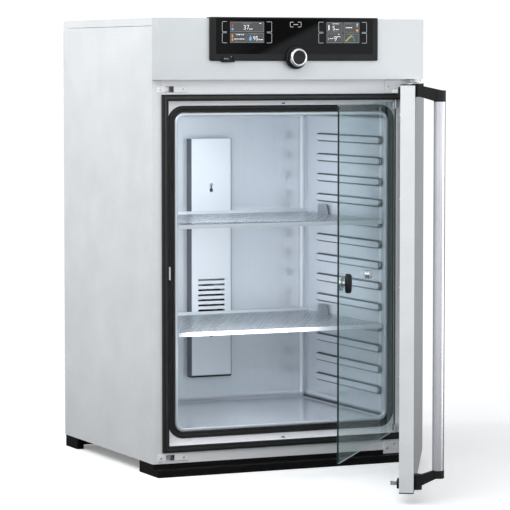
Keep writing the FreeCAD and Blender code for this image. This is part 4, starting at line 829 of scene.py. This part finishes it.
s.prism(round_rect(88, 1116.4, 185, 1171.5, 1.0, 3), SCREEN - 0.0, SCREEN + 0.9, "screen_back")
X0, X1 = 89.2, 183.8
XM = (X0 + X1) / 2
tile(s, X0, ZM + 1.5, XM - 1.9, Z1)
tile(s, XM + 1.9, ZM + 1.5, X1, Z1)
tile(s, X0, Z0, XM - 1.9, ZM - 1.5)
tile(s, XM + 1.9, Z0, X1, ZM - 1.5)
s.prism(round_rect(X0 + 5.0, ZM + 7, X0 + 8.0, ZM + 20.5, 0.7, 3), SCREEN - 0.09, SCREEN - 0.05, "digit")
number(s, "5", X0 + 17.5, ZM + 7.6, 10.0, 1.2)
small_bars(s, X0 + 26.0, ZM + 8.0, (3.6, 4.0), 1.4, 2.0)
small_bars(s, X0 + 17, Z1 - 4.2, (6, 7, 3), 1.5, 1.3)
small_bars(s, X0 + 19, ZM + 3.6, (3, 6), 2.0, 1.1, "tile_edge")
small_bars(s, XM + 8, ZM + 13.0, (5, 7, 5), 0.9, 2.0)
small_bars(s, XM + 8, Z1 - 4.0, (8, 6), 1.6, 1.0, "tile_edge")
small_bars(s, X1 - 7.5, Z1 - 5.2, (3.5,), 1, 2.2)
small_bars(s, X1 - 7.5, Z1 - 10.2, (2.5,), 1, 2.2)
s.prism([(X1 - 9.5, ZM + 6.8), (X1 - 6.0, ZM + 3.4), (X1 - 2.6, ZM + 5.4), (X1 - 3.6, ZM + 9.4), (X1 - 7.2, ZM + 9.9)], SCREEN - 0.09, SCREEN - 0.05, "orange")
number(s, "9", X0 + 21, Z0 + 5.0, 12.0, 1.2)
small_bars(s, X0 + 9, Z0 + 10.5, (3, 4), 2.2, 1.8)
small_bars(s, X0 + 4, Z0 + 8.0, (2.0,), 1, 5.0, "orange")
small_bars(s, X0 + 29, Z0 + 15.2, (5, 4), 1.6, 1.8)
small_bars(s, X0 + 34, Z0 + 21.0, (2.2,), 1, 2.6)
small_bars(s, XM + 16, Z1 - 31.0, (10, 6), 1.6, 1.0, "tile_edge")
cx, cz = XM + 7.0, Z0 + 4.5
s.stroke([(cx, cz + 1), (cx + 5, cz + 4.2), (cx + 9, cz + 8.6), (cx + 14, cz + 12.6), (cx + 18, cz + 14.4), (cx + 22, cz + 12.2)], 1.1, SCREEN - 0.09, SCREEN - 0.05, "yellow")
s.stroke([(cx + 1, cz - 1), (cx + 6, cz + 2.6), (cx + 10, cz + 6.4), (cx + 15, cz + 10.4), (cx + 19, cz + 12.8)], 1.0, SCREEN - 0.09, SCREEN - 0.05, "green")
s.stroke([(cx + 19, cz + 13.2), (cx + 22.5, cz + 11.6), (cx + 24.6, cz + 7.0), (cx + 26, cz + 0.4)], 1.2, SCREEN - 0.09, SCREEN - 0.05, "teal")
s.stroke([(cx - 3, cz + 17), (cx - 3, cz - 2.5), (cx + 31, cz - 2.5)], 0.5, SCREEN - 0.075, SCREEN - 0.05, "tile_edge")
s.done("display_faces", "cabinet", replaces=("displays",), smooth=30)


def bracket(shape, x, z0, z1, to, w=1.0):
    """A square bracket mark: x is its upright, to the sideways reach of its arms."""
    sg = 1 if to > 0 else -1
    pts = [(x + to, z1)] + [(x + sg * (2.2 - 2.2 * math.sin(math.radians(a))), z1 - 2.2 + 2.2 * math.cos(math.radians(a))) for a in (0, 30, 60, 90)]
    pts += [(x + sg * (2.2 - 2.2 * math.cos(math.radians(a))), z0 + 2.2 - 2.2 * math.sin(math.radians(a))) for a in (0, 30, 60, 90)] + [(x + to, z0)]
    shape.stroke(pts, w, FACE - 0.06, FACE + 0.02, "print")


s = Shape()
for z0, z1 in ((1145.2, 1171.2), (1117.0, 1142.6)):
    bracket(s, -208.0, z0, z1, 13.0)
    bracket(s, -68.5, z0, z1, -14.0)
    bracket(s, 66.0, z0, z1, 13.5)
    bracket(s, 205.5, z0, z1, -14.0)
bracket(s, -15.6, 1158.4, 1170.8, 9.0, 1.3)
bracket(s, 15.6, 1158.4, 1170.8, -9.0, 1.3)
s.prism(round_rect(-6.6, 1163.7, 6.6, 1165.5, 0.8, 4), FACE - 0.06, FACE + 0.02, "print")
s.done("panel_marks", "cabinet", smooth=30)

# Switch block: a raised bar and ring beside the rocker, and a small arrow mark by the service socket.
s = Shape()
yb = -57.5
s.stroke([(-203.3, 1072.2), (-203.3, 1077.8)], 1.0, yb - 1.75, yb - 1.2, "print")
s.stroke(arc(-198.2, 1075.0, 2.3, 0, 345, 20), 0.8, yb - 1.75, yb - 1.2, "print")
s.done("rocker_marks", "rocker", smooth=30)
s = Shape()
s.stroke([(-183.0, 1079.6), (-183.0, 1082.2)], 0.5, yb - 0.06, yb + 0.02, "print")
s.stroke([(-184.0, 1081.2), (-183.0, 1082.4), (-182.0, 1081.2)], 0.5, yb - 0.06, yb + 0.02, "print")
s.stroke(arc(-192.0, 1075.2, 1.3, 0, 345, 14), 0.45, yb - 0.06, yb + 0.02, "print")
s.done("socket_marks", "cabinet", smooth=30)


# ---------------------------------------------------------------------------------------------- front frame details
def tray(shape, x0, x1, z0, z1, y0, y1, g, key):
    """A five-sided sheet pocket, open to the front, with a thin flange-free rim."""
    out = [(x0, z0), (x1, z0), (x1, z1), (x0, z1)]
    inn = [(x0 + g, z0 + g), (x1 - g, z0 + g), (x1 - g, z1 - g), (x0 + g, z1 - g)]
    v = [(x, y0, z) for x, z in out] + [(x, y1, z) for x, z in out] + [(x, y0, z) for x, z in inn] + [(x, y1 - g, z) for x, z in inn]
    f = [(4, 5, 6, 7), (12, 13, 14, 15)]
    for i in range(4):
        j = (i + 1) % 4
        f += [(i, j, 4 + j, 4 + i), (8 + i, 8 + j, 12 + j, 12 + i), (i, j, 8 + j, 8 + i)]
    shape.add(v, f, key)


s = Shape()
for z in (998, 46):
    tray(s, -349.4, -306.6, z - 10.4, z + 10.4, 1.6, 17.4, 0.8, "small_steel")
s.done("latch_pockets", "cabinet", smooth=30)

# Small bent stops on the floor of the step, at the middle of its top and bottom.
s = Shape()
for z, up in ((960.6, 1), (78.6, -1)):
    hook = [(-4.2, 0.0), (-2.6, -1.7), (3.4, -1.7), (4.6, -0.2), (4.6, 1.8), (3.2, 1.8), (3.0, 0.3), (-1.8, 0.3), (-2.9, 1.3)]
    pts = [(1.0 + x, z + up * h * 1.25) for x, h in hook]
    s.prism(pts, 20.4, 22.98, "dark_steel", 0.3)
s.done("step_stops", "cabinet", smooth=30)

# Oval latch knob on the glass door: a softly domed moulding.
s = Shape()
seg = 56
rows = [(8.0, 2.2), (7.2, 0.9), (6.0, 0.2), (4.0, 0.0), (-1.5, 0.25), (-4.2, 1.1), (-6.0, 2.7), (-7.0, 4.8), (-7.45, 7.2), (-7.5, 9.0)]
verts = []
for y, d in rows:
    verts += [(-270.0 + (11.0 - d) * math.cos(2 * math.pi * i / seg), y, 522.0 + (24.5 - d) * math.sin(2 * math.pi * i / seg)) for i in range(seg)]
faces = [tuple(range(seg)), tuple((len(rows) - 1) * seg + i for i in range(seg))]
for q in range(len(rows) - 1):
    faces += [(q * seg + i, q * seg + (i + 1) % seg, (q + 1) * seg + (i + 1) % seg, (q + 1) * seg + i) for i in range(seg)]
s.add(verts, faces, "black_plastic")
s.done("latch_knob_oval", "glass_latch", ON_GLASS, ("glass_latch_knob",), 60)

# Latch spindle through the glass, on the latch's own axis.
s = Shape()
s.lathe((-270.0, 0.0, 522.0), (0, 1, 0), [(7.4, 0.0), (7.4, 3.4), (7.9, 3.9), (18.4, 3.9), (19.0, 3.3), (19.0, 0.0)], 32, "small_steel")
s.done("latch_spindle_turned", "glass_latch", ON_GLASS, ("glass_latch_spindle",), 40)


# Dark painted-shade outline strips round each shelf rib, and a dark strip under the air guide standing in for the
# shadow at its foot.
MATS["rib_shade_line"] = brushed_steel("rib_shade_outline_steel", rgb(92, 98, 107), rgb(72, 78, 86), 0.5, 0.35, "Y", 1.0, 0.05)
# Painted shade: a dark strip traces each rib's outline on the side walls.
s = Shape()
for side in (1, -1):
    for i in range(13):
        zc = 858.4 - 56.0 * i
        t = Shape()
        t.stroke(round_rect(36.6, zc - 11.2, 432.4, zc + 11.2, 9.5, 5), 1.5, 299.2, 299.95, "rib_shade_line", closed=True)
        s.add([(side * p[1], p[0], p[2]) for p in t.v], t.f, "rib_shade_line")
s.done("rib_shade_outlines", "cabinet", smooth=30)
# Painted shade: a dark strip in the seal rubber under the air guide's foot.
s = Shape()
s.prism(round_rect(-60.6, 189.8, 60.6, 193.5, 1.2, 3), 493.4, 522.8, "seal", 0.4)
s.done("guide_foot_shade_strip", "cabinet", smooth=30)


# ------------------------------------------------------------------------------------------------- studio and camera
def floor():
    """A wide pale disc with a soft rim, finely subdivided rings so that its tone fades evenly."""
    bm = bmesh.new()
    rings, seg = (0.6, 1.5, 3.0, 6.0, 12.0, 24.0, 48.0), 96
    centre = bm.verts.new((0, 0, 0))
    rows = []
    for r in rings:
        rows.append([bm.verts.new((r * math.cos(2 * math.pi * i / seg), r * math.sin(2 * math.pi * i / seg), 0)) for i in range(seg)])
    for i in range(seg):
        bm.faces.new((centre, rows[0][i], rows[0][(i + 1) % seg]))
    for a, b in zip(rows, rows[1:]):
        for i in range(seg):
            bm.faces.new((a[i], b[i], b[(i + 1) % seg], a[(i + 1) % seg]))
    mesh = bpy.data.meshes.new("studio_floor")
    bm.to_mesh(mesh)
    bm.free()
    ob = bpy.data.objects.new("studio_floor", mesh)
    bpy.context.scene.collection.objects.link(ob)
    m = Mat("studio_floor")
    fine = m.noise(3.0, 3.0, 0.5)
    far = m.n("VectorMath", operation="LENGTH", ins={0: m.co.outputs["Object"]}).outputs["Value"]
    paper = m.bsdf(Base_Color=m.mix(m.ramp(fine, 0.3, 0.7), rgb(246, 247, 248), rgb(250, 250, 251)), Roughness=0.75, Emission_Color=(1, 1, 1, 1), Emission_Strength=0.2)
    clear = m.n("BsdfTransparent")
    dull = m.n("BsdfDiffuse", ins={"Color": (0.16, 0.16, 0.16, 1.0)})
    seen = m.n("LightPath").outputs["Is Camera Ray"]
    sheet = m.n("MixShader", ins={0: seen, 1: dull.outputs[0], 2: paper.outputs[0]})
    both = m.n("MixShader", ins={0: m.ramp(far, 1.1, 3.4), 1: sheet.outputs[0], 2: clear.outputs[0]})
    m.link(both.outputs[0], m.out.inputs["Surface"])
    mesh.materials.append(m.m)
    ob.location = (0, 0, -0.0005)
    return ob


floor()

world = bpy.data.worlds.new("studio")
bpy.context.scene.world = world
world.use_nodes = True
wt = world.node_tree
wt.nodes.clear()
w_out = wt.nodes.new("ShaderNodeOutputWorld")
tc = wt.nodes.new("ShaderNodeTexCoord")
dotn = wt.nodes.new("ShaderNodeVectorMath")
dotn.operation = "DOT_PRODUCT"
wt.links.new(tc.outputs["Generated"], dotn.inputs[0])
dotn.inputs[1].default_value = Vector((-0.62, -0.52, 0.59)).normalized()
mr = wt.nodes.new("ShaderNodeMapRange")
mr.interpolation_type = "SMOOTHSTEP"
mr.inputs["From Min"].default_value = -0.7
mr.inputs["From Max"].default_value = 0.9
mr.inputs["To Min"].default_value = 0.30
mr.inputs["To Max"].default_value = 0.86
wt.links.new(dotn.outputs["Value"], mr.inputs["Value"])
soft = wt.nodes.new("ShaderNodeBackground")
soft.inputs["Color"].default_value = (0.97, 0.985, 1.0, 1)
wt.links.new(mr.outputs["Result"], soft.inputs["Strength"])
white = wt.nodes.new("ShaderNodeBackground")
white.inputs["Color"].default_value = (1, 1, 1, 1)
white.inputs["Strength"].default_value = 1.05
lp = wt.nodes.new("ShaderNodeLightPath")
mx = wt.nodes.new("ShaderNodeMixShader")
wt.links.new(lp.outputs["Is Camera Ray"], mx.inputs[0])
wt.links.new(soft.outputs[0], mx.inputs[1])
wt.links.new(white.outputs[0], mx.inputs[2])
wt.links.new(mx.outputs[0], w_out.inputs["Surface"])


def area(name, loc, target, size, power, colour=(1, 1, 1)):
    data = bpy.data.lights.new(name, "AREA")
    data.shape = "RECTANGLE"
    data.size, data.size_y = size
    data.energy = power
    data.color = colour
    ob = bpy.data.objects.new(name, data)
    bpy.context.scene.collection.objects.link(ob)
    ob.location = loc
    ob.rotation_euler = (Vector(target) - Vector(loc)).to_track_quat("-Z", "Y").to_euler()
    return ob


area("key_softbox", (-3.4, -3.6, 3.3), (0, 0.1, 0.75), (3.0, 3.0), 88, (1.0, 0.998, 0.994))
area("front_softbox", (0.6, -5.2, 2.2), (0, 0.2, 0.6), (3.2, 2.4), 38, (0.985, 0.99, 1.0))
area("top_softbox", (0.2, -0.4, 4.2), (0, 0.2, 0.6), (3.4, 3.4), 20)
glow = area("chamber_fill", (-0.09, 0.075, 0.58), (-0.05, 0.52, 0.42), (0.36, 0.62), 3.9, (0.975, 0.988, 1.0))
side = area("side_softbox", (-1.75, 0.55, 2.2), (-0.38, 0.36, 1.05), (1.2, 1.2), 29, (1.0, 1.0, 1.0))
strip = area("handle_strip", (2.7, -2.3, 0.9), (0.1, -0.6, 0.6), (2.2, 2.4), 42, (1.0, 1.0, 1.0))
strip.visible_diffuse = False
for lamp in [o for o in bpy.context.scene.objects if o.type == "LIGHT"]:
    lamp.visible_camera = False
glow.visible_glossy = False
glow.visible_transmission = False

cam_data = bpy.data.cameras.new("camera")
cam = bpy.data.objects.new("camera", cam_data)
bpy.context.scene.collection.objects.link(cam)
cam_data.sensor_width = 36.0
cam_data.lens = 2766.2 * 36.0 / 510.0
cam_data.clip_start, cam_data.clip_end = 0.05, 200.0
cam.location = (-3.070, -6.560, 1.069)
cam.rotation_euler = (math.radians(90 - 4.001), 0.0, math.radians(-24.429))
bpy.context.scene.camera = cam
bpy.context.scene.view_settings.view_transform = "Standard"
